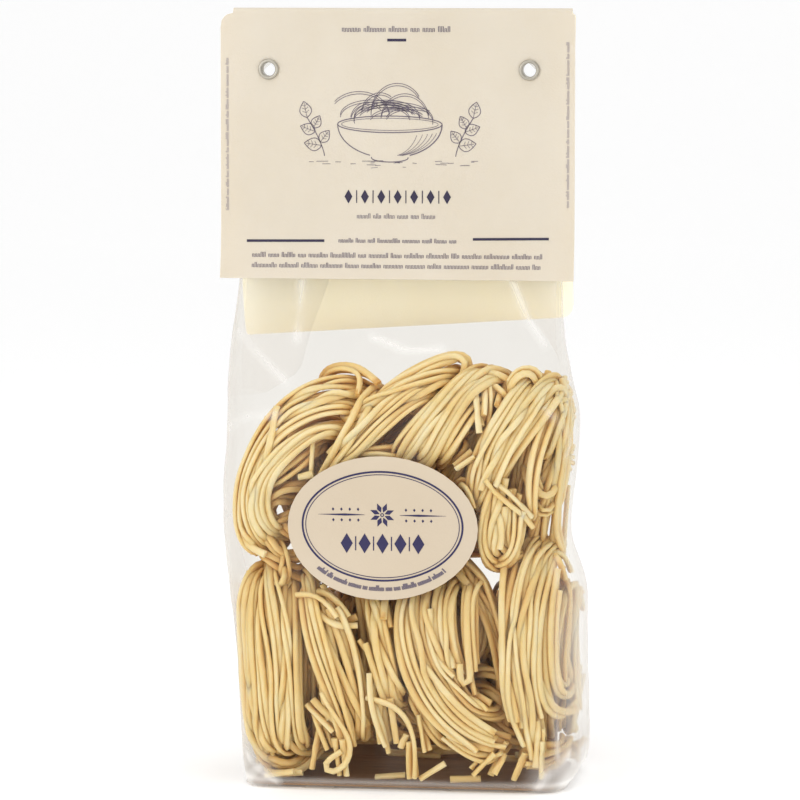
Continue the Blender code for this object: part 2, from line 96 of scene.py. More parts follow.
# The locks that show at the front of each nest: how many strands, then places across and up, how
# far behind the film and how wide the lock lies there, all in millimetres
FRONT_LOCKS = {
    "nest_low_a": (
        (5, (
            (-42, 69, 12, 4), (-46, 62, 4, 5), (-47, 50, 2, 4), (-46.5, 38, 2, 4),
            (-45.5, 25, 2, 5), (-43, 14, 3, 5), (-37, 6, 8, 4),
        )),
        (5, (
            (-41, 69, 12, 4), (-43.5, 61, 4, 5), (-44, 51, 2, 5), (-43, 39, 2, 5),
            (-40.5, 27, 2, 5), (-39.5, 16, 3, 4), (-37, 7, 9, 3),
        )),
        (6, (
            (-40, 70, 12, 4), (-39, 62, 3, 5), (-37, 51, 2, 7), (-34, 40, 2, 5), (-34, 28, 2, 5),
            (-35.5, 17, 2, 5), (-34, 8, 6, 4),
        )),
        (5, (
            (-34, 68, 12, 3), (-33, 60, 5, 4), (-31.5, 48, 3, 5), (-31, 36, 2, 6), (-31, 24, 2, 6),
            (-30.5, 15, 3, 6), (-28, 8, 8, 4),
        )),
        (4, (
            (-39, 50, 4, 4), (-39.5, 38, 3, 5), (-38.5, 26, 3, 4), (-38, 14, 4, 3), (-38, 7, 8, 3),
        )),
        (3, (
            (-46, 66, 9, 3), (-48.5, 55, 5, 3), (-48, 40, 5, 3), (-47, 22, 5, 3), (-44, 10, 7, 3),
        )),
        (3, ((-38, 66, 6, 2), (-35, 61, 4, 3), (-33, 64, 5, 3), (-35, 69, 9, 2))),
        (3, ((-43, 9, 7, 3), (-37, 5.5, 6, 3), (-31, 5, 7, 3), (-27, 7, 10, 2))),
    ),
    "nest_low_b": (
        (7, (
            (-28, 68, 10, 3), (-27, 60, 4, 4), (-25, 50, 2, 5), (-20, 39, 2, 6), (-15.5, 29, 2, 7),
            (-12.5, 20, 2, 8), (-12, 12, 5, 7),
        )),
        (3, (
            (-18, 62, 4, 4), (-15, 53, 3, 4), (-12.5, 43, 3, 4), (-10.5, 33, 3, 3), (-9, 22, 3, 3),
            (-10, 13, 6, 3),
        )),
        (3, (
            (-24, 63, 5, 4), (-20, 57, 4, 4), (-17, 50, 4, 4), (-15, 43, 4, 3), (-13, 35, 5, 3),
        )),
        (2, (
            (-27, 58, 5, 2), (-25, 64, 3, 2), (-22, 62, 3, 2), (-17, 57, 2, 2), (-14, 52, 2, 2),
        )),
        (2, ((-25, 56, 4, 2), (-20, 51, 2, 2), (-15, 49, 2, 2), (-13, 52, 4, 2))),
        (3, ((-25.5, 27, 5, 2), (-22, 24, 3, 3), (-18, 21, 3, 3), (-16, 16, 4, 3))),
        (2, ((-22, 40, 5, 2), (-21.5, 32, 4, 2), (-21, 25, 4, 2), (-19, 20, 5, 2))),
        (2, ((-24, 23, 5, 2), (-20, 19, 3, 2), (-19, 12, 4, 2))),
        (2, ((-20, 26, 4, 2), (-17, 27, 3, 2), (-14, 24, 4, 2))),
    ),
    "nest_low_c": (
        (6, (
            (-7, 64, 8, 6), (-5.5, 56, 4, 7), (-3.5, 48, 3, 7), (-1, 40, 3, 7), (1, 32, 4, 5),
            (2, 24, 6, 4),
        )),
        (2, ((-10, 46, 3, 2), (-6.5, 45, 2, 2), (-4, 40, 2, 3), (-2, 33, 3, 3), (-1, 28, 5, 2))),
        (2, ((-3, 64, 6, 2), (-3, 58, 3, 2), (-0.5, 52, 2, 2))),
        (2, (
            (-3.5, 37, 3, 2), (-6.5, 36, 2, 2), (-7.5, 31, 2, 3), (-5.5, 23, 2, 3),
            (-3.5, 16, 3, 3), (-1, 12, 4, 2),
        )),
        (3, ((-2, 29, 4, 3), (-1.5, 20, 3, 4), (0, 13, 4, 3))),
        (3, ((5, 32, 6, 3), (8, 24, 5, 4), (12, 17, 5, 4), (18, 11, 7, 3))),
        (2, ((5, 18, 3, 2), (5.5, 10, 2, 3), (6.5, 2.6, 3, 3))),
        (2, ((7.5, 24, 4, 2), (8.5, 18, 3, 3), (11, 12.5, 3, 2))),
        (1, ((5, 18, 3, 1), (2.5, 13, 3, 1))),
    ),
    "nest_low_d": (
        (10, (
            (6, 66, 10, 5), (4.5, 57, 3, 6), (5, 49, 2, 8), (8.5, 38, 2, 9), (14, 28, 2, 10),
            (21, 20, 2, 9), (29, 15, 3, 6), (37, 15, 5, 4),
        )),
        (5, (
            (10, 66, 10, 4), (10, 56, 3, 5), (11.5, 47, 2, 6), (16, 37, 3, 5), (23, 28, 3, 5),
            (31, 24, 4, 4), (34, 22, 7, 3),
        )),
        (4, ((15, 67, 10, 4), (14, 57, 3, 4), (14.5, 48, 3, 4), (18, 40, 4, 4), (24, 32, 4, 3))),
        (4, ((19, 67, 8, 4), (17.5, 58, 4, 4), (18, 48, 3, 4), (20, 38, 4, 4), (22, 31, 5, 3))),
        (2, (
            (23, 66, 6, 2), (23.5, 56, 3, 2), (23.5, 46, 3, 2), (25, 37, 3, 2), (24, 31, 3, 2),
            (21, 31, 3, 2), (20, 36, 4, 2),
        )),
        (2, ((26, 67, 6, 2), (26, 56, 4, 2), (26, 46, 4, 2), (27, 36, 4, 3))),
        (4, ((16, 20, 5, 4), (21, 13, 4, 4), (28, 9.5, 4, 4), (35, 12, 6, 3))),
        (2, ((24, 29, 4, 2), (29, 27, 3, 2), (32, 25, 4, 2))),
        (2, ((25.5, 6, 3, 2), (30, 9, 3, 3), (34.5, 13, 5, 2))),
        (1, ((32, 6, 3, 1), (33, 10, 4, 1), (36, 14, 5, 1))),
    ),
    "nest_low_e": (
        (5, (
            (41, 77, 12, 3), (37, 68, 5, 4), (35.5, 58, 3, 4), (35.5, 48, 2, 4), (36.5, 38, 2, 4),
            (38.5, 28, 2, 4), (41.5, 19, 3, 4),
        )),
        (5, (
            (43, 78, 12, 3), (40.5, 69, 4, 4), (39, 58, 2, 5), (38.5, 47, 2, 5), (39.5, 36, 2, 5),
            (41.5, 26, 2, 4), (44, 17, 3, 4), (45.5, 7, 5, 4),
        )),
        (5, (
            (46, 78, 12, 4), (43.5, 68, 4, 4), (42.5, 57, 2, 5), (42.5, 46, 2, 5), (43.5, 35, 2, 4),
            (45, 25, 3, 4), (46, 15, 5, 3),
        )),
        (4, (
            (50, 77, 10, 4), (47, 68, 4, 5), (46, 57, 3, 5), (46, 47, 2, 5), (46.5, 36, 2, 3),
            (48, 26, 2, 3), (51, 20.5, 3, 3), (55, 23, 6, 3),
        )),
        (3, (
            (50, 70, 5, 3), (50, 58, 4, 3), (49.5, 46, 3, 4), (49, 36, 3, 3), (50.5, 27.5, 3, 3),
            (54, 25, 5, 3), (56, 30, 8, 2),
        )),
        (3, (
            (53, 66, 6, 3), (53.5, 54, 5, 3), (52.5, 44, 5, 3), (52, 35, 5, 3), (53.5, 30, 6, 2),
        )),
        (2, ((48, 76, 6, 2), (52, 74, 5, 2), (53, 69, 5, 2), (51, 66, 4, 2))),
        (2, ((40, 12, 6, 2), (45, 13, 5, 3), (50, 15, 5, 2), (54, 11, 7, 2))),
        (3, ((41, 10, 5, 3), (46, 7, 5, 4), (53, 9, 7, 3))),
    ),
    "nest_low_back_b": (
        (5, (
            (17, 73, 12, 3), (23.5, 69.5, 9, 4), (28, 62, 9, 4), (31, 55, 10, 4), (33, 48, 10, 4),
            (34.5, 38, 11, 4), (36.5, 26, 12, 4), (38, 12, 14, 3),
        )),
        (4, (
            (19, 70, 11, 4), (24, 65, 11, 3), (27, 60, 12, 3), (29.5, 54, 12, 3), (28, 46, 13, 3),
            (25, 38, 15, 3),
        )),
        (3, ((24, 38, 13, 3), (30, 38, 11, 3), (35, 35, 12, 3), (37, 28, 13, 3))),
        (4, ((26, 27, 13, 4), (31, 24, 11, 4), (36, 19, 11, 4), (39, 13, 12, 3))),
        (4, ((-31, 30, 14, 4), (-28, 40, 12, 4), (-26, 52, 12, 4), (-27, 64, 13, 4))),
        (4, (
            (-12, 66, 13, 4), (-10, 56, 12, 4), (-9, 44, 12, 4), (-7, 32, 12, 4), (-8, 20, 13, 4),
        )),
        (3, ((25, 32, 14, 3), (30, 33, 12, 3), (34, 28, 12, 3), (35, 20, 13, 3))),
    ),
    "nest_high_a": (
        (3, (
            (-42, 73.5, 6, 2), (-48, 73, 4, 2), (-50, 80, 3, 3), (-50.5, 89, 3, 3), (-48, 99, 3, 3),
            (-43.5, 109, 3, 3), (-37.5, 118, 3, 4), (-29, 125, 4, 4), (-18, 128.5, 6, 4),
            (-8, 126, 9, 3),
        )),
        (5, (
            (-38, 73, 8, 4), (-45, 79, 4, 5), (-47, 88, 3, 4), (-45.5, 96, 3, 4), (-42, 104, 3, 4),
            (-37, 111, 3, 5), (-29, 118, 3, 6), (-18, 121, 4, 6), (-9, 118, 7, 4),
        )),
        (6, (
            (-35, 76, 9, 3), (-41.5, 82, 4, 3), (-43.5, 90, 3, 4), (-41, 98, 2, 5),
            (-35, 105, 2, 6), (-28, 110.5, 2, 5), (-21, 114, 3, 4), (-14, 113, 6, 4),
        )),
        (5, (
            (-38, 113, 5, 3), (-32, 120, 4, 5), (-24, 124, 4, 6), (-15, 125, 5, 6),
            (-7, 122, 8, 4),
        )),
        (2, ((-35, 121, 5, 2), (-34.5, 112, 2, 2), (-38, 104, 2, 2), (-42, 97, 3, 2))),
        (3, (
            (-24, 129, 8, 3), (-17, 132, 6, 3), (-10, 131.5, 5, 2), (-6.5, 128, 5, 2),
            (-9, 124, 5, 2),
        )),
        (3, (
            (-39, 92, 6, 3), (-37, 98, 5, 3), (-31, 101, 4, 3), (-25, 104, 5, 3), (-22, 110, 8, 2),
        )),
        (3, ((-42, 86, 6, 2), (-39, 93, 7, 3), (-33, 95, 6, 4), (-26, 95, 7, 3))),
        (3, (
            (-30, 76, 8, 3), (-37, 79, 6, 3), (-41, 84, 6, 3), (-40, 90, 7, 3), (-33, 91, 8, 3),
        )),
        (2, ((-42, 78, 7, 2), (-37, 83, 5, 2), (-31, 86, 6, 2))),
        (4, ((-28, 71, 8, 3), (-33, 71, 6, 4), (-38, 74, 6, 4), (-41, 80, 6, 3))),
        (3, ((-28, 66, 9, 3), (-33, 67, 7, 4), (-38, 70, 6, 3), (-43, 75, 6, 2))),
        (2, ((-36, 62, 6, 2), (-33, 67, 5, 2), (-34, 73, 6, 2), (-38, 79, 8, 2))),
    ),
    "nest_high_b": (
        (4, (
            (-10, 118, 8, 3), (-1, 125, 4, 4), (8, 130.5, 3, 4), (17, 135.5, 3, 3),
            (21.5, 136, 4, 2), (23.5, 131, 6, 2), (20, 126, 9, 2),
        )),
        (5, (
            (-15, 112, 7, 3), (-7, 120, 3, 4), (2, 125.5, 2, 5), (11, 128.5, 3, 4),
            (20, 130.5, 6, 3),
        )),
        (8, (
            (-19, 99, 7, 4), (-14, 105, 3, 6), (-7.5, 112, 2, 8), (0.5, 119.5, 2, 7),
            (8, 124.5, 3, 5), (15, 127, 6, 4),
        )),
        (3, (
            (-22, 98, 5, 2), (-18, 104, 2, 3), (-13, 112, 2, 3), (-9, 119, 2, 3),
            (-5.5, 127, 6, 3),
        )),
        (3, ((-15, 102, 6, 2), (-9, 105.5, 4, 3), (-2, 106, 4, 3), (4, 104, 6, 3))),
    ),
    "nest_high_c": (
        (6, (
            (0, 100, 6, 5), (5, 108, 3, 6), (10, 116, 2, 6), (15, 123, 2, 6), (21, 128.5, 3, 5),
            (28, 131, 7, 4),
        )),
        (6, (
            (8, 99, 6, 4), (12.5, 108, 2, 5), (17, 117, 2, 5), (21.5, 124, 2, 5), (27, 129.5, 4, 4),
            (33, 130, 9, 3),
        )),
        (4, (
            (14, 100, 6, 3), (17.5, 107, 3, 4), (21.5, 114, 2, 4), (25, 119.5, 2, 4),
            (29, 125, 4, 3), (32, 128, 8, 3),
        )),
        (2, ((24, 130, 5, 2), (25, 123, 2, 2), (26, 116, 2, 2), (28, 110, 4, 2))),
        (3, ((29, 131, 6, 3), (30.5, 124, 3, 3), (30, 117, 3, 3), (27, 112, 5, 3))),
        (3, ((25, 128, 7, 2), (30, 129.5, 5, 3), (34.5, 126, 5, 3), (37, 120, 8, 2))),
        (2, ((33, 128, 6, 2), (34, 122, 4, 2), (37, 122, 5, 2))),
        (2, ((20, 101, 4, 2), (24, 104, 3, 2), (27, 106, 5, 2))),
        (2, ((20, 94, 6, 2), (23, 100, 3, 2), (25, 95, 3, 2), (27, 90, 5, 2))),
        (4, ((15, 101, 9, 3), (19, 107, 8, 4), (24, 113, 8, 4))),
    ),
    "nest_high_d": (
        (6, (
            (26, 86, 6, 4), (26.5, 97, 3, 4), (28.5, 107, 2, 5), (33, 114, 2, 6), (38, 120, 2, 7),
            (41, 126, 3, 7), (42, 130, 7, 6),
        )),
        (5, (
            (29, 92, 5, 3), (31.5, 102, 2, 4), (36, 110, 2, 5), (41, 117.5, 2, 5),
            (45, 124.5, 2, 5), (47, 129.5, 7, 5),
        )),
        (4, (
            (32, 96, 5, 3), (36, 103, 3, 4), (41, 109, 2, 4), (45, 116, 2, 4), (49, 122.5, 3, 4),
            (51.5, 127, 7, 4),
        )),
        (3, (
            (42, 82, 6, 3), (43, 92, 2, 3), (43.5, 102, 2, 3), (45.5, 111, 2, 3), (49.5, 119, 3, 3),
            (52.5, 124.5, 6, 3),
        )),
        (4, (
            (47, 102, 8, 3), (49.5, 109, 5, 3), (52, 116, 4, 3), (53.5, 122, 5, 3),
            (52, 127, 9, 3),
        )),
        (3, (
            (36.5, 121, 6, 2), (36.5, 127, 4, 3), (39.5, 131.5, 3, 3), (43.5, 131.5, 4, 2),
            (45, 127.5, 6, 2),
        )),
        (6, (
            (32, 98, 4, 4), (30.5, 90, 2, 5), (29, 81, 2, 5), (29, 71.5, 4, 5), (33, 68, 10, 4),
        )),
        (5, ((37, 96, 4, 4), (36, 88, 3, 5), (34, 80, 3, 5), (36, 71.5, 4, 4), (41, 74, 8, 3))),
        (4, ((41, 92, 4, 4), (39, 85, 2, 5), (39.5, 78, 2, 4), (35, 70, 5, 3), (29, 68.5, 9, 3))),
        (2, ((29, 97, 3, 2), (33, 95, 1.8, 2), (38.5, 89, 1.8, 3), (44.5, 82, 2, 2))),
        (2, ((32, 88, 3, 2), (36, 84, 2, 2), (34, 78, 2, 3), (29, 75, 3, 2))),
        (4, (
            (42, 100, 8, 3), (44, 92, 6, 4), (48.5, 89, 5, 4), (51.5, 95, 5, 3), (52.5, 104, 7, 3),
        )),
        (3, ((43, 88, 7, 2), (46, 84, 6, 2), (51, 88, 5, 2), (55, 95, 6, 2), (55, 106, 9, 2))),
        (5, ((43, 97, 10, 5), (47, 94, 8, 7), (51, 97, 9, 6))),
    ),
}

# Strands that came away from their nests: depth behind the film and places across and up
LOOSE_STRANDS = (
    (1.8, (
        (-21, 30), (-19, 24), (-15, 22), (-12.3, 18.5), (-11.5, 12.5), (-14, 7), (-19.5, 4.5),
        (-23.5, 6.5), (-23, 10), (-17.5, 11),
    )),
    (2, ((-7, 29), (-4, 29.5), (1, 29.5), (5, 26), (7.5, 20), (8, 14), (9, 9), (7, 4))),
    (3, ((13, 57), (13, 47), (14, 41), (17, 37), (20, 36))),
    (5, ((-22, 22), (-24, 12), (-25.5, 3))),
    (3, ((-18, 16), (-16.5, 9), (-17, 3))),
    (3, ((-15, 16), (-14, 9), (-14, 3))),
    (3, ((44, 22), (45, 14), (45, 6))),
    (3, ((47, 20), (47.5, 12), (47, 7))),
    (3, ((-25, 112), (-26, 104), (-26, 97))),
    (3, ((-29, 98), (-26, 98.5), (-24, 100))),
    (4, ((-41, 73), (-48, 72.5), (-49.5, 76), (-50, 82))),
)

# Broken ends that fell to the bottom: those along the front, and how many lie behind them
CRUMBS = 16
BROKEN_ENDS = (
    (3, ((9, 4), (13, 5), (17, 9))),
    (3, ((25, 5), (31, 9), (36, 14))),
    (5, ((31, 5), (33, 11), (36, 16))),
    (4, ((38, 4), (40, 10), (44, 14))),
    (3, ((47, 5), (46, 12), (45, 18))),
    (3, ((-40, 3), (-35, 5), (-29, 5))),
    (6, ((-38, 3), (-33, 3), (-27, 4))),
    (8, ((46, 3), (50, 6), (54, 12))),
    (9, ((-6, 3), (0, 3), (5, 4))),
    (7, ((18, 3), (24, 4), (29, 3))),
)


def drift(draw, along, size):
    """A slow random wander along a strand, of about the given size."""
    total = np.zeros_like(along)
    for waves, share in ((0.45, 0.7), (0.95, 0.5), (1.9, 0.28), (3.7, 0.12), (6.3, 0.05)):
        total += share * draw.normal() * np.sin(waves * along + draw.uniform(0, 2 * math.pi))
    return size * total


def rounded(wave):
    """A sine or cosine made squarer, so that an oval fills more of the box that it stands in."""
    return np.sign(wave) * np.abs(wave) ** 0.8


def scatter_crumbs(draw):
    """Broken strands that lie about on the floor of the bag behind the nests' rims."""
    crumbs = []
    for _ in range(CRUMBS):
        middle = np.array(
            (draw.uniform(-43, 47), draw.uniform(6, 24), 2.5 + 9 * draw.uniform() ** 1.3)
        )
        heading = draw.uniform(-0.7, 0.7)
        along = np.arange(0, draw.uniform(12, 42), POINT_STEP)
        line = np.zeros((len(along), 3)) + middle
        line[:, 0] += (along - along.mean()) * math.cos(heading)
        line[:, 1] += (along - along.mean()) * math.sin(heading)
        line[:, 1] += drift(draw, along / 20, 2.0)
        line[:, 2] += drift(draw, along / 20, 1.5)
        crumbs.append(line)
    return crumbs


def wind_nest(nest, draw):
    """Centre lines of a nest's strands, in millimetres: locks of strands wound round an oval."""
    strands = []
    for lock in range(nest.locks):
        lean = math.radians(nest.lean + draw.normal() * LEAN_SHARE * LOCK_TILT)
        turn = math.radians(nest.turn + draw.normal() * LOCK_TILT)
        pose = np.array(Matrix.Rotation(lean, 3, "Y") @ Matrix.Rotation(turn, 3, "Z"))
        axis, side, up = pose[:, 0], pose[:, 1], pose[:, 2]
        count = int(draw.integers(*LOCK_STRANDS))
        start = draw.uniform(0, 2 * math.pi)
        length = 2 * math.pi * draw.uniform(*LOCK_TURNS)
        size = draw.uniform(nest.fill, 1.0)
        spread = (lock + 0.5) / nest.locks * 2 - 1
        steps = int(length * size * 0.5 * (nest.height + nest.depth - nest.wall) / POINT_STEP)
        along = np.linspace(0, length, steps)
        angle = start + along
        lock_across = LOCKS_ACROSS * nest.half_width * spread
        lock_across = lock_across + drift(draw, along, LOCK_WANDER_ACROSS * nest.half_width)
        lock_across += nest.sweep * ((1 - np.cos(angle)) / 2) ** 2
        lock_out = drift(draw, along, LOCK_WANDER_OUT * nest.wall)
        roll = draw.uniform(-LOCK_ROLL, LOCK_ROLL) + drift(draw, along, LOCK_ROLL_WANDER)
        for number in range(count):
            wander = STRAND_WANDER * (STRAY_WANDER if draw.uniform() < STRAY_SHARE else 1.0)
            offset = (number - (count - 1) / 2) * STRAND_WIDTH
            across = lock_across + offset * np.cos(roll) + drift(draw, along, wander)
            out = lock_out + offset * np.sin(roll) + drift(draw, along, wander)
            out = np.clip(out, -nest.wall, 0.5 * nest.wall)
            ring_up = (size * nest.height - 0.5 * nest.wall + out) * rounded(np.cos(angle))
            ring_side = (size * nest.depth - 0.5 * nest.wall + out) * rounded(np.sin(angle))
            points = (
                np.array(nest.middle)
                + ring_up[:, None] * up
                + ring_side[:, None] * side
                + across[:, None] * axis
            )
            first = int(draw.integers(0, CUT_SCATTER))
            last = steps - int(draw.integers(0, CUT_SCATTER))
            points = points[first:last]
            for end in (points[:LOOSE_POINTS], points[::-1][:LOOSE_POINTS]):
                away = draw.normal(size=3)
                bend = np.linspace(1, 0, len(end)) ** 2 * draw.uniform(0, LOOSE_END)
                end += bend[:, None] * away / np.linalg.norm(away)
            strands.append(points)
    return strands


def depth_from_front(walls, x, z, otherwise=None):
    """Depth at which a straight look from the front meets the walls, in millimetres."""
    hit = walls.ray_cast(Vector((x, -100, z)) * MM, Vector((0, 1, 0)))[0]
    return hit.y / MM if hit else otherwise


LOCK_FULLNESS = 1.12  # strands laid for each one counted
CURVE_POINTS = 40  # between two places of a lock
LAYER_STEP = 1.5  # between the front strands of a lock and those behind them
WANDER_LENGTH = 8  # the longer, the slower the strands of a laid lock wander
WANDER_ASIDE = 0.65
WANDER_INWARDS = 0.4
FILM_FRONT = -22  # where the film's front is taken to be beside the bag
# A lock that ends this deep behind the film goes on round the rim of its nest
WRAP_FROM = 6
WRAP_DEPTH = 15
WRAP_TURN = 5


def lay_lock(count, places, draw):
    """Centre lines of a lock of strands that follows places behind the film's front."""
    through = np.array(places, float)
    count = round(LOCK_FULLNESS * count)
    rise = np.sign(through[0, 1] - through[-1, 1]) if count > 1 else 0
    if rise and through[0, 2] >= WRAP_FROM:
        through = np.vstack((through[0] + (0, -WRAP_TURN * rise, WRAP_DEPTH, 0), through))
    if rise and through[-1, 2] >= WRAP_FROM:
        through = np.vstack((through, through[-1] + (0, WRAP_TURN * rise, WRAP_DEPTH, 0)))
    through = np.vstack((2 * through[0] - through[1], through, 2 * through[-1] - through[-2]))
    path = []
    for before, start, end, after in zip(through, through[1:], through[2:], through[3:]):
        for t in np.linspace(0, 1, CURVE_POINTS, endpoint=False):
            bend = t * (end - before) + t**2 * (2 * before - 5 * start + 4 * end - after)
            bend += t**3 * (3 * start - before - 3 * end + after)
            path.append(start + bend / 2)
    path = np.array(path)
    paces = np.linalg.norm(np.diff(path[:, :3], axis=0), axis=1)
    travelled = np.concatenate(([0], np.cumsum(paces)))
    stops = np.arange(0, travelled[-1], POINT_STEP)
    x, z, depth, spread = (np.interp(stops, travelled, column) for column in path.T)
    run = np.stack((np.gradient(x), np.gradient(z)))
    run /= np.linalg.norm(run, axis=0) + 1e-9
    strands = []
    for number in range(count):
        aside = ((number + 0.5) / count - 0.5) * spread
        aside += drift(draw, stops / WANDER_LENGTH, WANDER_ASIDE * min(count, 2))
        behind = depth + (number % 2) * LAYER_STEP
        behind += drift(draw, stops / WANDER_LENGTH, WANDER_INWARDS)
        line = []
        for across, up, inward in zip(x - run[1] * aside, z + run[0] * aside, behind):
            front = depth_from_front(bag_walls, across, up, FILM_FRONT)
            line.append((across, front + inward, up))
        trim = draw.integers(0, 1 + min(len(line) // 7, 3), size=2) if count > 1 else (0, 0)
        strands.append(np.array(line[trim[0] : len(line) - trim[1]]))
    return strands


# How the strands settle: each round's shares of a push apart, of a bend's relief and of a
# stretch's relief, how far neighbours are looked for, and how often they and the walls are
SETTLE_ROUNDS = 48
PUSH_SHARE = 0.42
BEND_SHARE = 0.16
STRETCH_SHARE = 0.3
NEIGHBOUR_REACH = 2.9
OWN_POINTS = 4  # next points of the same strand that don't push one another
NEIGHBOURS_EVERY = 6
WALLS_EVERY = 4
CONTACTS = 6  # how many neighbours of a point are kept, to shade its sides
FILM_CLEARANCE = 1.6
FLOOR_CLEARANCE = 2.2
BASE_CARD_HALF = (48.0, 27.0)
BASE_SHADE_FLAP = 11.0


def settle(strands, wall_tree, rounds):
    """Pushes strands apart and inside the film, and keeps them smooth and of one length.

    It also gives, for each point, the directions of the nearest points of other strands.
    """
    points = np.concatenate(strands)
    ends = np.cumsum([len(strand) for strand in strands])
    owner = np.repeat(np.arange(len(strands)), [len(strand) for strand in strands])
    inner = np.ones(len(points), bool)
    inner[ends - 1] = False
    inner[np.concatenate(([0], ends[:-1]))] = False
    linked = np.arange(len(points) - 1)
    linked = linked[owner[:-1] == owner[1:]]
    pairs = None
    for step in range(rounds):
        if step % NEIGHBOURS_EVERY == 0:
            tree = KDTree(len(points))
            for index, point in enumerate(points):
                tree.insert(point, index)
            tree.balance()
            found = []
            for index, point in enumerate(points):
                for _, other, _ in tree.find_range(point, NEIGHBOUR_REACH):
                    if other <= index:
                        continue
                    if owner[other] != owner[index] or other - index > OWN_POINTS:
                        found.append((index, other))
            pairs = np.array(found)
        first, second = pairs[:, 0], pairs[:, 1]
        apart = points[second] - points[first]
        distance = np.linalg.norm(apart, axis=1) + 1e-6
        short = np.clip(STRAND_GAP - distance, 0, None)
        push = apart * (PUSH_SHARE * short / distance)[:, None]
        for column in range(3):
            points[:, column] += np.bincount(second, push[:, column], len(points))
            points[:, column] -= np.bincount(first, push[:, column], len(points))
        bend = np.zeros_like(points)
        bend[1:-1] = points[:-2] + points[2:] - 2 * points[1:-1]
        points[inner] += BEND_SHARE * bend[inner]
        for _ in range(2):
            run = points[linked + 1] - points[linked]
            size = np.linalg.norm(run, axis=1) + 1e-6
            fix = run * (STRETCH_SHARE * (size - POINT_STEP) / size)[:, None]
            for column in range(3):
                points[:, column] += np.bincount(linked, fix[:, column], len(points))
                points[:, column] -= np.bincount(linked + 1, fix[:, column], len(points))
        if step % WALLS_EVERY == WALLS_EVERY - 1 or step == rounds - 1:
            for index, point in enumerate(points):
                place, normal, _, _ = wall_tree.find_nearest(Vector(point) * MM)
                beyond = (Vector(point) * MM - place).dot(normal) + FILM_CLEARANCE * MM
                if beyond > 0:
                    points[index] -= np.array(normal) * (beyond / MM)
            points[:, 2] = np.maximum(points[:, 2], FLOOR_CLEARANCE)
            low = points[:, 2] < BASE_SHADE_FLAP + 3
            points[low, 1] = np.minimum(points[low, 1], BASE_CARD_HALF[1] - 1.5)
    one = np.concatenate((pairs[:, 0], pairs[:, 1]))
    other = np.concatenate((pairs[:, 1], pairs[:, 0]))
    way = points[other] - points[one]
    distance = np.linalg.norm(way, axis=1) + 1e-6
    nearest = np.lexsort((distance, one))
    one, way, distance = one[nearest], way[nearest], distance[nearest]
    rank = np.arange(len(one)) - np.searchsorted(one, one)
    kept = rank < CONTACTS
    contacts = np.zeros((len(points), CONTACTS, 3))
    contacts[one[kept], rank[kept]] = way[kept] / distance[kept, None]
    return np.split(points, ends[:-1]), np.split(contacts, ends[:-1])


bag_cage = bmesh.new()
bag_cage.from_mesh(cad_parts["bag"].data)
bmesh.ops.remove_doubles(bag_cage, verts=bag_cage.verts[:], dist=1e-6)
bag_walls = BVHTree.FromBMesh(bag_cage)
bag_cage.free()

nest_draw = np.random.default_rng(NEST_SEED)
wound = {name: wind_nest(nest, nest_draw) for name, nest in NESTS.items()}
for name, locks in FRONT_LOCKS.items():
    for count, places in locks:
        wound[name] += lay_lock(count, places, nest_draw)
for name, bits in (("loose_strands", LOOSE_STRANDS), ("broken_ends", BROKEN_ENDS)):
    wound[name] = []
    for depth, places in bits:
        wound[name] += lay_lock(1, [(x, z, depth, 0) for x, z in places], nest_draw)
wound["broken_ends"] += scatter_crumbs(nest_draw)
every_strand = [strand for strands in wound.values() for strand in strands]
rounds = SETTLE_ROUNDS
settled, touching = settle(every_strand, bag_walls, rounds)
contacts_of = {}
for name, strands in wound.items():
    wound[name], contacts_of[name] = settled[: len(strands)], touching[: len(strands)]
    settled, touching = settled[len(strands) :], touching[len(strands) :]

# The flattened section of a strand, a small rounded oblong that the curves are swept along
SECTION_CORNERS = 10
bpy.ops.object.select_all(action="DESELECT")
bpy.ops.mesh.primitive_circle_add(vertices=SECTION_CORNERS, radius=0.5)
strand_section = bpy.context.object
section_points = [vert.co.copy() for vert in strand_section.data.vertices]
bpy.data.objects.remove(strand_section)
section_data = bpy.data.curves.new("strand_section", "CURVE")
section_spline = section_data.splines.new("POLY")
section_spline.points.add(len(section_points) - 1)
for knot, point in zip(section_spline.points, section_points):
    soft = 0.55 + 0.45 * 0.44 / max(abs(point.x), abs(point.y))
    knot.co = (point.x * soft * STRAND_WIDTH * MM, point.y * soft * STRAND_THICKNESS * MM, 0, 1)
section_spline.use_cyclic_u = True
strand_section = bpy.data.objects.new("strand_section", section_data)
bpy.context.scene.collection.objects.link(strand_section)

# Tones from 0, pale, to 1, deep. The tone from strand to strand is the pasta's own; the rest is
# painted shade:
# deeper with the depth behind the film, for the lower layer, between strands that touch, and golden
# inside some nests
FILM_DEPTHS = (3, 6.5, 17)
PAINTED_SHADE_BY_DEPTH = (0.14, 0.4, 0.85)
LOWER_PAINTED_SHADE = 0.1
LAYER_HEIGHTS = (55, 85)
CREVICE_PAINTED_SHADE = 0.4
CREVICE_FACING = (0.4, 0.95)
STRAND_TONE = 0.14
INSIDE_DEPTHS = (4, 8)
PAINTED_INSIDE_SHADE = {
    "nest_high_a": 0.6,
    "nest_high_b": 0.35,
    "nest_high_c": 0.35,
    "nest_high_d": 0.2,
}


def place_alone(name, data):
    """Adds an object with the given data to the scene, and selects it alone."""
    piece = bpy.data.objects.new(name, data)
    bpy.context.scene.collection.objects.link(piece)
    bpy.ops.object.select_all(action="DESELECT")
    bpy.context.view_layer.objects.active = piece
    piece.select_set(True)
    return piece


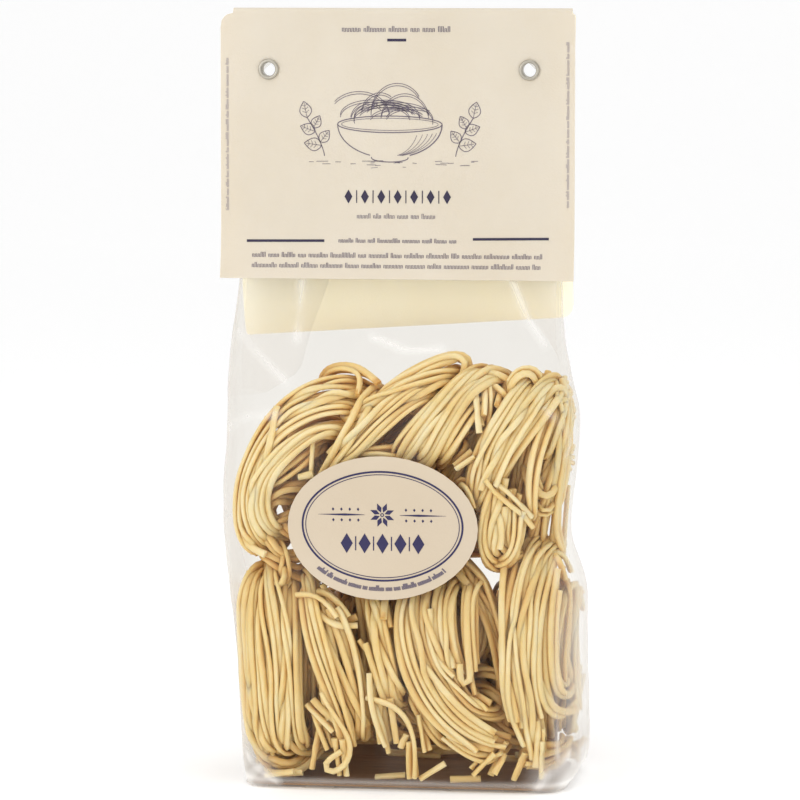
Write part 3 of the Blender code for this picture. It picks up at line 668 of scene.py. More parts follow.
def sweep_strands(name, strands, contacts, inside_shade, draw):
    """One mesh piece of all the given strands, with cut ends, a tone that differs from strand to
    strand and a painted shade that deepens inwards.
    """
    data = bpy.data.curves.new(name, "CURVE")
    data.dimensions = "3D"
    data.twist_mode = "MINIMUM"
    data.bevel_mode = "OBJECT"
    data.bevel_object = strand_section
    data.use_fill_caps = True
    for strand in strands:
        spline = data.splines.new("POLY")
        spline.points.add(len(strand) - 1)
        knots = np.ones((len(strand), 4))
        knots[:, :3] = strand * MM
        spline.points.foreach_set("co", knots.ravel())
        thinning = np.full(len(strand), draw.uniform(0.84, 1.04))
        thinning += drift(draw, np.linspace(0, 9, len(strand)), 0.03)
        spline.points.foreach_set("radius", thinning)
        twist = draw.uniform(0, math.pi) + drift(draw, np.linspace(0, 6, len(strand)), 0.5)
        spline.points.foreach_set("tilt", twist)
    place_alone(name, data)
    bpy.ops.object.convert(target="MESH")
    piece = bpy.context.object
    # Painted shade: each strand's own random tone is deepened by its depth behind the film, in the
    # lower layer and inside some nests
    tones = []
    for strand in strands:
        inward = np.array([bag_walls.find_nearest(Vector(point) * MM)[3] / MM for point in strand])
        tone = draw.uniform(-STRAND_TONE, STRAND_TONE)
        tone = tone + np.interp(inward, FILM_DEPTHS, PAINTED_SHADE_BY_DEPTH)
        tone += np.interp(strand[:, 2], LAYER_HEIGHTS, (LOWER_PAINTED_SHADE, 0))
        tones.append(tone + inside_shade * np.interp(inward, INSIDE_DEPTHS, (0, 1)))
    # The converted mesh has the corners of the strands' two caps first, the last strand's ahead
    sides = len(section_points)
    cap_tones = np.repeat([tone[0] for tone in tones[::-1]], 2 * sides)
    corners = np.empty(len(piece.data.vertices) * 3)
    piece.data.vertices.foreach_get("co", corners)
    corners = corners.reshape(-1, 3)[len(cap_tones) :].reshape(-1, sides, 3)
    out = corners - np.concatenate(strands)[:, None] * MM
    out /= np.linalg.norm(out, axis=2)[:, :, None]
    facing = np.einsum("pkc,pnc->pkn", out, np.concatenate(contacts)).max(axis=2)
    # Painted shade on the sides of a strand that face its nearest neighbours
    crevice_shade = CREVICE_PAINTED_SHADE * np.interp(facing, CREVICE_FACING, (0, 1))
    side_tones = (np.concatenate(tones)[:, None] + crevice_shade).ravel()
    tone = piece.data.attributes.new("strand_tone_and_shade", "FLOAT", "POINT")
    tone.data.foreach_set("value", np.concatenate((cap_tones, side_tones)).astype(np.float32))
    bpy.ops.object.mode_set(mode="EDIT")
    bpy.ops.mesh.select_all(action="SELECT")
    bpy.ops.mesh.remove_doubles(threshold=0.00001)
    bpy.ops.mesh.normals_make_consistent(inside=False)
    bpy.ops.object.mode_set(mode="OBJECT")
    bpy.ops.object.shade_smooth_by_angle(angle=math.radians(50))
    return piece


def feed(node, inputs):
    """Sets a node's inputs, and wires those for which another node's output is given."""
    for socket, given in inputs.items():
        if isinstance(given, bpy.types.NodeSocket):
            node.id_data.links.new(given, node.inputs[socket])
        else:
            node.inputs[socket].default_value = given


def add_node(tree, kind, inputs=None, **settings):
    """Adds a shader node to a material's or a group's tree."""
    node = tree.nodes.new("ShaderNode" + kind)
    for setting, value in settings.items():
        setattr(node, setting, value)
    feed(node, inputs or {})
    return node


def add_ramp(tree, value, first, last, *between):
    """Adds a colour ramp over a value, with a position and a colour for each of its stops."""
    ramp = add_node(tree, "ValToRGB", {"Fac": value})
    for stop, (position, colour) in zip(ramp.color_ramp.elements, (first, last)):
        stop.position = position
        stop.color = (*colour, 1)
    for position, colour in between:
        ramp.color_ramp.elements.new(position).color = (*colour, 1)
    return ramp.outputs["Color"]


def new_material(name, inputs):
    """A material, its tree and its principled shader with some inputs set."""
    material = bpy.data.materials.new(name)
    material.use_nodes = True
    shader = material.node_tree.nodes["Principled BSDF"]
    feed(shader, inputs)
    return material, material.node_tree, shader


def pasta_material():
    """Dry egg pasta: straw yellow, a little deeper here and there, deep golden where painted shade
    is laid on, matt and finely rough.
    """
    material, tree, shader = new_material("dry_egg_pasta", {
        "Roughness": 0.5,
        "Specular IOR Level": 0.4,
        "Subsurface Weight": 0.5,
        "Subsurface Radius": (1.0, 0.8, 0.5),
        "Subsurface Scale": 0.0025,
    })
    place = add_node(tree, "TexCoord").outputs["Object"]
    patches = add_node(tree, "TexNoise", {"Vector": place, "Scale": 90.0, "Detail": 3.0})
    span = {"From Min": 0.3, "From Max": 0.7, "To Min": -0.15, "To Max": 0.15}
    uneven = add_node(tree, "MapRange", {"Value": patches.outputs["Fac"], **span})
    strand_tone_and_shade = add_node(tree, "Attribute", attribute_name="strand_tone_and_shade")
    both = {0: strand_tone_and_shade.outputs["Fac"], 1: uneven.outputs["Result"]}
    depth = add_node(tree, "Math", both, operation="ADD", use_clamp=True)
    # The ramp's deep end mostly shows painted shade, laid on through the strand's tone attribute
    pale, middle, deep = (0.92, 0.76, 0.46), (0.84, 0.61, 0.27), (0.65, 0.38, 0.12)
    tone = add_ramp(tree, depth.outputs["Value"], (0.0, pale), (1.0, deep), (0.35, middle))
    grain = add_node(tree, "TexNoise", {"Vector": place, "Scale": 900.0, "Detail": 4.0})
    relief = {"Height": grain.outputs["Fac"], "Strength": 0.35, "Distance": 0.0004}
    bump = add_node(tree, "Bump", relief)
    feed(shader, {"Base Color": tone, "Normal": bump.outputs["Normal"]})
    return material


pasta = pasta_material()
sweep_draw = np.random.default_rng(NEST_SEED + 1)
for name, strands in wound.items():
    inside_shade = PAINTED_INSIDE_SHADE.get(name, 0)
    nest_piece = sweep_strands(name, strands, contacts_of[name], inside_shade, sweep_draw)
    nest_piece.data.materials.append(pasta)
    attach(nest_piece, "root")
bpy.data.objects.remove(strand_section)

# The base card: a plain brown board in the bottom of the bag, with its back edge turned up. It is
# painted shade: its dark brown stands in for the deep shade on the bag's floor and behind the lower
# nests, and shows as a dark floor.
BASE_CARD_MIDDLE = 3.0
BASE_CARD_LEVEL = 0.7
BASE_CARD_THICKNESS = 0.5
BASE_CARD_CORNER = 5.0
bpy.ops.object.select_all(action="DESELECT")
bpy.ops.mesh.primitive_plane_add(size=1, location=(BASE_CARD_MIDDLE * MM, 0, BASE_CARD_LEVEL * MM))
shade_base_card = bpy.context.object
shade_base_card.name = "shade_base_card"
shade_base_card.dimensions = [2 * half * MM for half in BASE_CARD_HALF] + [0]
bpy.ops.object.transform_apply(location=True, rotation=True, scale=True)
bpy.ops.object.mode_set(mode="EDIT")
bpy.ops.mesh.select_all(action="SELECT")
bpy.ops.mesh.bevel(offset=BASE_CARD_CORNER * MM, segments=5, affect="VERTICES")
bpy.ops.mesh.select_mode(type="EDGE")
bpy.ops.mesh.select_all(action="DESELECT")
bpy.ops.object.mode_set(mode="OBJECT")
for edge in shade_base_card.data.edges:
    back = [shade_base_card.data.vertices[i].co.y > (BASE_CARD_HALF[1] - 0.1) * MM for i in edge.vertices]
    edge.select = all(back)
bpy.ops.object.mode_set(mode="EDIT")
bpy.ops.mesh.extrude_region_move(TRANSFORM_OT_translate={"value": (0, 0.4 * MM, BASE_SHADE_FLAP * MM)})
bpy.ops.object.mode_set(mode="OBJECT")
board = shade_base_card.modifiers.new("board", "SOLIDIFY")
board.thickness = BASE_CARD_THICKNESS * MM
board.offset = 0
crease = shade_base_card.modifiers.new("crease", "BEVEL")
crease.width = 0.2 * MM
crease.segments = 3
for name in ("board", "crease"):
    bpy.ops.object.modifier_apply(modifier=name)
bpy.ops.object.shade_smooth_by_angle(angle=math.radians(40))


def painted_shade_board():
    """Dull brown board with darker flecks and fibres; its brown is painted shade."""
    material, tree, shader = new_material("painted_shade_board", {"Roughness": 0.8})
    place = add_node(tree, "TexCoord").outputs["Object"]
    stretch = add_node(tree, "Mapping", {"Vector": place, "Scale": (120, 700, 500)})
    drawn_out = stretch.outputs["Vector"]
    fibres = add_node(tree, "TexNoise", {"Vector": drawn_out, "Scale": 1.0, "Detail": 4.0})
    dark, light = (0.25, 0.13, 0.05), (0.38, 0.21, 0.09)
    tone = add_ramp(tree, fibres.outputs["Fac"], (0.3, dark), (0.75, light))
    feed(shader, {"Base Color": tone})
    return material


shade_base_card.data.materials.append(painted_shade_board())
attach(shade_base_card, "root")

# The film: clear food-grade film, folded to a block bottom with side gussets and closed under
# the header card. It is drawn tight over the nests, with creases where it is folded or pulled.
FILM_FINENESS = 2


def dressed_copy(node_name, piece_name):
    """A copy of a CAD node with its loose triangles joined to one skin, to be finished."""
    piece = place_alone(piece_name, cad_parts[node_name].data.copy())
    piece.data.materials.clear()
    bpy.ops.object.mode_set(mode="EDIT")
    bpy.ops.mesh.select_all(action="SELECT")
    bpy.ops.mesh.remove_doubles(threshold=0.000001)
    bpy.ops.mesh.tris_convert_to_quads()
    bpy.ops.object.mode_set(mode="OBJECT")
    return piece


film = dressed_copy("bag", "film")
sharpness = film.data.attributes.new("crease_edge", "FLOAT", "EDGE")
for edge in film.data.edges:
    low, high = (film.data.vertices[i].co.z for i in edge.vertices)
    sharpness.data[edge.index].value = 0.8 if max(low, high) < 0.0001 else 0.0
smoothing = film.modifiers.new("smoothing", "SUBSURF")
smoothing.levels = FILM_FINENESS
smoothing.render_levels = FILM_FINENESS
bpy.ops.object.modifier_apply(modifier="smoothing")
bpy.ops.object.shade_smooth()

# The film is open inside the eyelets
cage = bmesh.new()
cage.from_mesh(film.data)
for side in ("left", "right"):
    low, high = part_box("eyelet_" + side)
    hole = (Vector(low) + Vector(high)) / 2
    hole_radius = (high[0] - low[0]) / 2
    inside = []
    for face in cage.faces:
        middle = face.calc_center_median()
        if math.hypot(middle.x - hole.x, middle.z - hole.z) < hole_radius:
            inside.append(face)
    bmesh.ops.delete(cage, geom=inside, context="FACES")
cage.to_mesh(film.data)
cage.free()

# Creases of the front seen in the pack's shoulders and along its corners: width, height, places
FRONT_CREASES = (
    (1.1, 0.9, ((-54, 145), (-51, 141), (-44, 135), (-34, 127))),
    (1.2, 0.6, ((-32, 157), (-32, 139))),
    (1.2, 0.7, ((35, 157), (40, 146), (46, 138))),
    (1.0, 0.8, ((50, 72), (51.5, 48), (51, 30), (52, 12))),
    (1.2, 0.5, ((-52, 112), (-45, 116), (-36, 117))),
    (1.2, 0.5, ((-8, 140), (4, 136), (14, 137))),
    (1.2, 0.5, ((-46, 10), (-40, 5), (-36, 2))),
    (1.2, 0.5, ((55, 12), (49, 6), (46, 2))),
    (1.2, 0.5, ((48, 118), (54, 108), (55, 96))),
)
SMALL_CREASES = 46
CREASE_SEED = 5
CREASED_BELOW = 160  # above it the header card keeps the film flat
# The label keeps the film flat as far as its edge, and less and less a little beyond it
LABEL_EDGE = 1.04
LABEL_REACH = 1.22
CARD_FOOT = 157  # the lower edge of the header card's front
CARD_REACH = 8
FOOT_REACH = 2.5  # over which the foot of the bag lets the film go
SWELLS = ((0.5, 0.045), (0.22, 0.13))  # height and fineness of the film's slow waves
RISE_LIMITS = (-0.9, 1.3)


def along_line(points, line):
    """Distance of each point to a line of places, and how far along the line it is, 0 to 1."""
    best = np.full(len(points), 1e9)
    share = np.zeros(len(points))
    lengths = [np.linalg.norm(b - a) for a, b in zip(line, line[1:])]
    done = 0.0
    for start, end, length in zip(line, line[1:], lengths):
        t = np.clip((points - start) @ (end - start) / length**2, 0, 1)
        away = np.linalg.norm(points - start - t[:, None] * (end - start), axis=1)
        nearer = away < best
        best[nearer] = away[nearer]
        share[nearer] = ((done + t * length) / sum(lengths))[nearer]
        done += length
    return best, share


count = len(film.data.vertices)
places = np.empty(count * 3)
film.data.vertices.foreach_get("co", places)
places = places.reshape(-1, 3) / MM
normals = np.empty(count * 3)
film.data.vertices.foreach_get("normal", normals)
normals = normals.reshape(-1, 3)
rise = np.zeros(count)
film_walls = BVHTree.FromObject(film, bpy.context.evaluated_depsgraph_get())
crease_lines = []
for width, height, line in FRONT_CREASES:
    on_film = []
    for x, z in line:
        on_film.append((x, depth_from_front(film_walls, x, z, -25), z))
    crease_lines.append((width, height, np.array(on_film, float)))
crease_draw = np.random.default_rng(CREASE_SEED)
for _ in range(SMALL_CREASES):
    start = places[crease_draw.integers(count)]
    if start[2] > CREASED_BELOW:
        continue
    direction = np.array(
        (crease_draw.normal() * 0.5, crease_draw.normal() * 0.3, crease_draw.normal())
    )
    direction /= np.linalg.norm(direction)
    line = [start]
    for _ in range(4):
        ahead = line[-1] + direction * crease_draw.uniform(4, 12) + crease_draw.normal(size=3) * 1.2
        line.append(np.array(film_walls.find_nearest(Vector(ahead) * MM)[0]) / MM)
    width, height = crease_draw.uniform(1.2, 2.4), crease_draw.uniform(0.15, 0.5)
    crease_lines.append((width, height, np.array(line)))
for width, height, line in crease_lines:
    away, share = along_line(places, line)
    fading = np.sin(math.pi * np.clip(share, 0.06, 0.94)) ** 0.5
    rise += height * np.exp(-((away / width) ** 2)) * fading
for index, place in enumerate(places):
    rise[index] += sum(high * noise.noise(Vector(place) * fine) for high, fine in SWELLS)
label_low, label_high = (np.array(corner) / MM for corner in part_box("label"))
label_middle = (label_low + label_high) / 2
label_half = (label_high - label_low) / 2
from_label = np.hypot(
    (places[:, 0] - label_middle[0]) / label_half[0],
    (places[:, 2] - label_middle[2]) / label_half[2],
)
free = np.clip((from_label - LABEL_EDGE) / (LABEL_REACH - LABEL_EDGE), 0, 1)
free[places[:, 1] > 0] = 1
free *= np.clip((CARD_FOOT - places[:, 2]) / CARD_REACH, 0, 1)
free *= np.clip(places[:, 2] / FOOT_REACH, 0, 1)
places += normals * (np.clip(rise, *RISE_LIMITS) * free)[:, None]
film.data.vertices.foreach_set("co", (places * MM).ravel())

# Where the film looks milky: its gussets and the folded corners of its foot. Along its pulled
# creases the same whiteness is a painted highlight.
CREASE_HIGHLIGHT = 0.35
SIDE_MILK = 0.26
CORNER_MILK = 0.5
FOOT_MILK = 0.25
milk = np.zeros(count)
# Painted highlight: whiteness laid along the front creases
for width, height, line in crease_lines[: len(FRONT_CREASES)]:
    away, _ = along_line(places, line)
    milk += CREASE_HIGHLIGHT * np.exp(-((away / (1.1 * width)) ** 2))
side = np.clip((np.abs(places[:, 0] - 1.0) - 50) / 4, 0, 1)
milk += SIDE_MILK * side * np.clip((90 - places[:, 2]) / 40, 0, 1)
corner = np.clip(1 - np.hypot(np.abs(places[:, 0] - 3.5) - 50, places[:, 2] - 2) / 13, 0, 1)
milk += CORNER_MILK * corner
milk += FOOT_MILK * np.exp(-(((places[:, 2] - 2.5) / 1.0) ** 2))
milk_and_crease_highlight = film.data.attributes.new("milk_and_crease_highlight", "FLOAT", "POINT")
milk_and_crease_highlight.data.foreach_set("value", milk.astype(np.float32))


def film_material(name, tint, grazing, ripples):
    """Clear film: see-through, glossy at a slant, milky where it is folded, streaked all over, with
    a painted highlight along its creases.
    """
    gloss = {"Base Color": (0.95, 0.93, 0.9, 1), "Metallic": 0.1, "Roughness": 0.3}
    material, tree, shader = new_material(name, gloss)
    clear = add_node(tree, "BsdfTransparent", {"Color": (*tint, 1)})
    place = add_node(tree, "TexCoord").outputs["Object"]
    stretch = add_node(tree, "Mapping", {"Vector": place, "Scale": (60, 60, 14)})
    wavy = {"Vector": stretch.outputs["Vector"], "Scale": 1.0, "Detail": 5.0, "Distortion": 0.6}
    streaks = add_node(tree, "TexNoise", wavy).outputs["Fac"]
    relief = {"Height": streaks, "Strength": ripples, "Distance": 0.0012}
    ripple = add_node(tree, "Bump", relief).outputs["Normal"]
    feed(shader, {"Normal": ripple})
    slant = add_node(tree, "LayerWeight", {"Normal": ripple, "Blend": 0.5})
    steep = add_node(tree, "Math", {0: slant.outputs["Facing"], 1: 4.0}, operation="POWER")
    edge_span = {"To Min": 0.008, "To Max": grazing}
    edge = add_node(tree, "MapRange", {"Value": steep.outputs["Value"], **edge_span})
    streak_span = {"From Min": 0.42, "From Max": 0.72, "To Min": 0.0, "To Max": 0.03}
    uneven = add_node(tree, "MapRange", {"Value": streaks, **streak_span})
    milk_here = add_node(tree, "Attribute", attribute_name="milk_and_crease_highlight")
    both = {0: uneven.outputs["Result"], 1: milk_here.outputs["Fac"]}
    milky = add_node(tree, "Math", both, operation="ADD")
    both = {0: milky.outputs["Value"], 1: edge.outputs["Result"]}
    cover = add_node(tree, "Math", both, operation="ADD", use_clamp=True)
    blend = add_node(tree, "MixShader", {
        "Fac": cover.outputs["Value"],
        1: clear.outputs["BSDF"],
        2: shader.outputs["BSDF"],
    })
    feed(tree.nodes["Material Output"], {"Surface": blend.outputs["Shader"]})
    return material


film.data.materials.append(film_material("clear_film", (0.93, 0.918, 0.892), 0.4, 0.15))
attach(film, "root")
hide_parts("bag")

# The gusset folds: below the header card the film of each side is still folded inwards between
# the front and the back, so two more layers lie between them there.
GUSSET_TOP = 182.0
GUSSET_ROWS = 22
GUSSET_COLUMNS = 9
GUSSET_INSET = 1.2  # from the bag's side
GUSSET_DEPTH = 0.8  # share of the bag's depth
GUSSET_MILK = 0.13
GUSSET_FOLDS = {
    "gusset_left": ((-24, 182), (-24, 157), (-30, 140), (-33, 128), (-44, 121)),
    "gusset_right": ((33, 182), (34, 157), (39, 147), (46, 138), (52, 128)),
}
folded_film = film_material("folded_film", (0.99, 0.985, 0.98), 0.04, 0.1)
for name, fold in GUSSET_FOLDS.items():
    outward = -1 if name == "gusset_left" else 1
    rows = []
    for z in np.linspace(GUSSET_TOP, fold[-1][1], GUSSET_ROWS):
        inner = np.interp(z, [place[1] for place in fold[::-1]], [place[0] for place in fold[::-1]])
        hit = bag_walls.ray_cast(Vector((outward * 90, 0, z)) * MM, Vector((-outward, 0, 0)))[0]
        outer = hit.x / MM - outward * GUSSET_INSET
        row = []
        for s in np.linspace(-1, 1, GUSSET_COLUMNS):
            x = inner + (outer - inner) * abs(s)
            front = bag_walls.ray_cast(Vector((x, -100, z)) * MM, Vector((0, 1, 0)))[0]
            behind = bag_walls.ray_cast(Vector((x, 100, z)) * MM, Vector((0, -1, 0)))[0]
            y = (front.y * (1 - s) + behind.y * (1 + s)) / 2 / MM * GUSSET_DEPTH
            row.append(Vector((x, y, z)) * MM)
        rows.append(row)
    cage = bmesh.new()
    grid = [[cage.verts.new(place) for place in row] for row in rows]
    for upper, lower in zip(grid, grid[1:]):
        for k in range(len(upper) - 1):
            cage.faces.new((upper[k], upper[k + 1], lower[k + 1], lower[k]))
    mesh = bpy.data.meshes.new(name)
    cage.to_mesh(mesh)
    cage.free()
    folded_milk = mesh.attributes.new("milk_and_crease_highlight", "FLOAT", "POINT")
    fold_column = GUSSET_COLUMNS // 2
    for index in range(len(mesh.vertices)):
        from_fold = abs(index % GUSSET_COLUMNS - fold_column) / fold_column
        from_foot = (GUSSET_ROWS - 1 - index // GUSSET_COLUMNS) / (GUSSET_ROWS - 1)
        folded_milk.data[index].value = GUSSET_MILK * from_fold * min(1, 1.6 * from_foot)
    gusset = place_alone(name, mesh)
    bpy.ops.object.shade_smooth()
    mesh.materials.append(folded_film)
    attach(gusset, "root")

# The header card: cream uncoated card, folded over the neck of the bag, its back panel longer
# and leaning on the film. The print is generic: a bowl of pasta, ornaments and scribbled lines.
header_card = dressed_copy("header_card", "folded_header_card")
bpy.ops.object.shade_smooth_by_angle(angle=math.radians(35))


def paper_grain():
    """Node group for paper: a faint cloudy tone and the relief of its fibres."""
    group = bpy.data.node_groups.new("paper_grain", "ShaderNodeTree")
    for name, way, kind in (
        ("Colour", "INPUT", "Color"),
        ("Cloudiness", "INPUT", "Float"),
        ("Relief", "INPUT", "Float"),
        ("Colour", "OUTPUT", "Color"),
        ("Normal", "OUTPUT", "Vector"),
    ):
        group.interface.new_socket(name, in_out=way, socket_type="NodeSocket" + kind)
    given = group.nodes.new("NodeGroupInput").outputs
    place = add_node(group, "TexCoord").outputs["Object"]
    clouds = add_node(group, "TexNoise", {"Vector": place, "Scale": 28.0, "Detail": 6.0})
    span = {"From Min": 0.3, "From Max": 0.7, "To Min": 1.0, "To Max": 0.0}
    shade = add_node(group, "MapRange", {"Value": clouds.outputs["Fac"], **span})
    both = {0: shade.outputs["Result"], 1: given["Cloudiness"]}
    amount = add_node(group, "Math", both, operation="MULTIPLY").outputs["Value"]
    colours = {"Factor": amount, "A": given["Colour"], "B": (0.86, 0.82, 0.72, 1)}
    darker = add_node(group, "Mix", colours, data_type="RGBA", blend_type="MULTIPLY")
    fibres = add_node(group, "TexNoise", {"Vector": place, "Scale": 1500.0, "Detail": 3.0})
    relief = {"Height": fibres.outputs["Fac"], "Strength": given["Relief"], "Distance": 0.0002}
    bump = add_node(group, "Bump", relief)
    result = group.nodes.new("NodeGroupOutput")
    feed(result, {"Colour": darker.outputs["Result"], "Normal": bump.outputs["Normal"]})
    return group


grain = paper_grain()


def paper_material(name, colour, roughness, cloudiness, relief, seep=0.0, painted_glow=0.0):
    """Printed or plain paper in one colour, with the shared grain; some lets light seep through,
    and some glows with painted light.
    """
    material, tree, shader = new_material(name, {
        "Roughness": roughness,
        "Specular IOR Level": 0.3,
        "Subsurface Weight": seep,
        "Subsurface Radius": (1.0, 0.95, 0.8),
        "Subsurface Scale": 0.001,
        "Emission Color": (*colour, 1),
        "Emission Strength": painted_glow,
    })
    look = {"Colour": (*colour, 1), "Cloudiness": cloudiness, "Relief": relief}
    fibre = add_node(tree, "Group", look, node_tree=grain).outputs
    feed(shader, {"Base Color": fibre["Colour"], "Normal": fibre["Normal"]})
    return material


cream_card = paper_material("cream_card", (0.665, 0.605, 0.51), 0.72, 0.35, 0.3, 0.5)
# The inside of the back panel is a lighter copy of the card that also glows: painted light on a
# panel lying in shade behind the film and the card's front
card_inside_painted_light = paper_material("card_inside_painted_light", (0.97, 0.91, 0.76), 0.8, 0.15, 0.3, 0.7, 0.19)
header_card.data.materials.append(cream_card)
header_card.data.materials.append(card_inside_painted_light)
for face in header_card.data.polygons:
    if face.center.y > 0 and face.normal.y < -0.7:
        face.material_index = 1
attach(header_card, "root")
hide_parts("header_card")

INK_LIFT = 0.05
INK_THICKNESS = 0.03
TEXT_LINE = 0.26
card_faces = BVHTree.FromObject(header_card, bpy.context.evaluated_depsgraph_get())


def lay_ink(name, strokes, sheet, ink):
    """Prints strokes on a sheet's front: each is a list of places across and up, and its widths."""
    cage = bmesh.new()
    for line, widths in strokes:
        line = np.array(line, float)
        widths = np.broadcast_to(np.array(widths, float), len(line))
        run = np.gradient(line, axis=0)
        if np.allclose(line[0], line[-1]):
            run[0] = run[-1] = line[1] - line[-2]
        run /= np.linalg.norm(run, axis=1)[:, None] + 1e-9
        aside = np.stack((-run[:, 1], run[:, 0]), axis=1) * widths[:, None] / 2
        pairs = []
        for pair in zip(line + aside, line - aside):
            verts = []
            for x, z in pair:
                depth = depth_from_front(sheet, x, z) - INK_LIFT
                verts.append(cage.verts.new((x * MM, depth * MM, z * MM)))
            pairs.append(verts)
        for (a, b), (c, d) in zip(pairs, pairs[1:]):
            cage.faces.new((a, b, d, c))
    bmesh.ops.remove_doubles(cage, verts=cage.verts[:], dist=1e-7)
    bmesh.ops.recalc_face_normals(cage, faces=cage.faces[:])
    mesh = bpy.data.meshes.new(name)
    cage.to_mesh(mesh)
    cage.free()
    print_piece = place_alone(name, mesh)
    wall = print_piece.modifiers.new("wall", "SOLIDIFY")
    wall.thickness = INK_THICKNESS * MM
    wall.offset = 0.0
    bpy.ops.object.modifier_apply(modifier="wall")
    mesh.materials.append(ink)
    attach(print_piece, "root")


def scribble(left, right, base, tall, draw, weight=TEXT_LINE):
    """A line of scribbled words: one stroke that goes up and down for each word."""
    strokes = []
    x = left
    while x < right - 0.8 * tall:
        word = [(x, base)]
        for _ in range(int(draw.integers(3, 10))):
            top = base + tall * draw.choice((0.62, 0.62, 0.66, 1.0))
            half = x + 0.3 * tall
            word += [(x, top), (half, top), (half, base), (x + 0.6 * tall, base)]
            x += 0.6 * tall
            if x > right - 0.6 * tall:
                break
        strokes.append((word[:-1], weight))
        x += 0.45 * tall
    return strokes


def oval(middle, half_width, half_height, start=0.0, end=360.0, steps=48):
    """Places along an oval or a part of one, angles in degrees."""
    angles = np.radians(np.linspace(start, end, steps + 1))
    return [
        (middle[0] + half_width * math.cos(angle), middle[1] + half_height * math.sin(angle))
        for angle in angles
    ]


def lozenge(x, z, half_width, half_height):
    """A filled lozenge, as one upright stroke that swells."""
    return ([(x, z - half_height), (x, z), (x, z + half_height)], (0, 2 * half_width, 0))


# A sprig's leaves: how far up the stem, their turn from it in degrees and their length
LEAVES = ((0.25, 62, 5.6), (0.35, -58, 4.6), (0.6, 50, 5.0), (0.7, -48, 4.4), (1.0, -8, 5.2))


def herb(foot, way):
    """A sprig of broad-leaved herb: a short bowed stem with rounded, veined leaves."""
    stem = [(foot[0] + way * 5.5 * t**1.4, foot[1] + 12 * t) for t in np.linspace(0, 1, 12)]
    strokes = [(stem, 0.26)]
    for share, turn, length in LEAVES:
        spot = np.array(stem[round(share * 11)])
        angle = math.radians(90 - way * (20 + turn))
        forward = np.array((math.cos(angle), math.sin(angle)))
        across = np.array((-forward[1], forward[0]))
        reach = np.linspace(0, 1, 12)
        for edge in (-1, 1):
            rim = []
            for r in reach:
                bulge = across * edge * 0.36 * length * math.sin(math.pi * r**0.8)
                rim.append(spot + forward * length * r + bulge)
            strokes.append((rim, 0.24))
            for r in (0.3, 0.5, 0.7):
                vein_start = spot + forward * length * r
                vein_end = vein_start + forward * 0.12 * length + across * edge * 0.2 * length
                strokes.append(([vein_start, vein_end], 0.13))
        strokes.append(([spot, spot + forward * 0.88 * length], 0.16))
    return strokes


INK_SEED = 3
ink_draw = np.random.default_rng(INK_SEED)
ink_dark = paper_material("dark_ink", (0.035, 0.028, 0.06), 0.6, 0.2, 0.2)
ink_grey = paper_material("grey_ink", (0.15, 0.125, 0.16), 0.65, 0.2, 0.2)
ink_faint = paper_material("faint_ink", (0.42, 0.37, 0.36), 0.7, 0.2, 0.2)

# The picture: a bowl heaped with pasta between two sprigs of herb
BOWL_MIDDLE = (-4.3, 206.0)
BOWL_RIM = (16.5, 2.6)
BOWL_DEPTH = 10.5
HEAPED_STRANDS = 15
GROUND_STROKES = 26
GROUND_LEVEL = 194.6
picture = []
picture.append((oval(BOWL_MIDDLE, *BOWL_RIM), 0.3))
picture.append((oval(BOWL_MIDDLE, BOWL_RIM[0] - 1.2, BOWL_RIM[1] - 0.7), 0.16))
body = [
    (x, z)
    for x, z in oval(BOWL_MIDDLE, BOWL_RIM[0], BOWL_DEPTH, 180, 360, 32)
    if z > BOWL_MIDDLE[1] - BOWL_DEPTH * 0.93
]
left_side = [place for place in body if place[0] < BOWL_MIDDLE[0]]
right_side = [place for place in body if place[0] > BOWL_MIDDLE[0]]
picture.append((left_side, 0.3))
picture.append((right_side, 0.36))
for share in (0.55, 0.66, 0.76, 0.85, 0.93):
    hatch = oval(BOWL_MIDDLE, BOWL_RIM[0] * share, BOWL_DEPTH * 0.96, 285, 335 + 10 * share, 12)
    picture.append((hatch, 0.14))
foot_place = (BOWL_MIDDLE[0], BOWL_MIDDLE[1] - BOWL_DEPTH)
picture.append((oval(foot_place, 5.8, 1.3, 170, 370, 20), 0.3))
for _ in range(HEAPED_STRANDS):
    x = BOWL_MIDDLE[0] + ink_draw.normal() * 3.4
    z = BOWL_MIDDLE[1] + 0.6 + ink_draw.uniform(0, 3.0)
    start = ink_draw.uniform(-8, 60)
    half_width, half_height = ink_draw.uniform(5, 10.5), ink_draw.uniform(3.5, 9.5)
    loop = oval((x, z), half_width, half_height, start, start + ink_draw.uniform(90, 160), 22)
    loop = [(x, z) for x, z in loop if z > BOWL_MIDDLE[1] + 0.4]
    if len(loop) > 4:
        picture.append((loop, 0.2))
        picture.append(([(x, z - 0.75) for x, z in loop], 0.2))
picture += herb((-25, 196), -1)
picture += herb((16.5, 196), 1)
for _ in range(GROUND_STROKES):
    x = ink_draw.uniform(-33, 25)
    z = GROUND_LEVEL - abs(ink_draw.normal()) * 0.9
    picture.append(([(x, z), (x + ink_draw.uniform(1, 4), z + ink_draw.normal() * 0.12)], 0.15))
lay_ink("card_picture", picture, card_faces, ink_grey)

# The ornament band of the card, with the rules and scribbled lines round it
bold = []
for k in range(7):
    bold.append(lozenge(-17.4 + 5.2 * k, 183.3, 1.25, 2.2))
for k in range(6):
    x = -14.8 + 5.2 * k
    bold.append(([(x, 181.3), (x, 185.3)], 0.3))
bold.append(([(-5.1, 232.3), (0.9, 232.3)], 0.85))
bold.append(([(-49.7, 169.2), (-25.0, 169.4)], 0.8))
bold.append(([(22.0, 170.2), (45.9, 170.5)], 0.8))
lay_ink("card_ornaments", bold, card_faces, ink_dark)

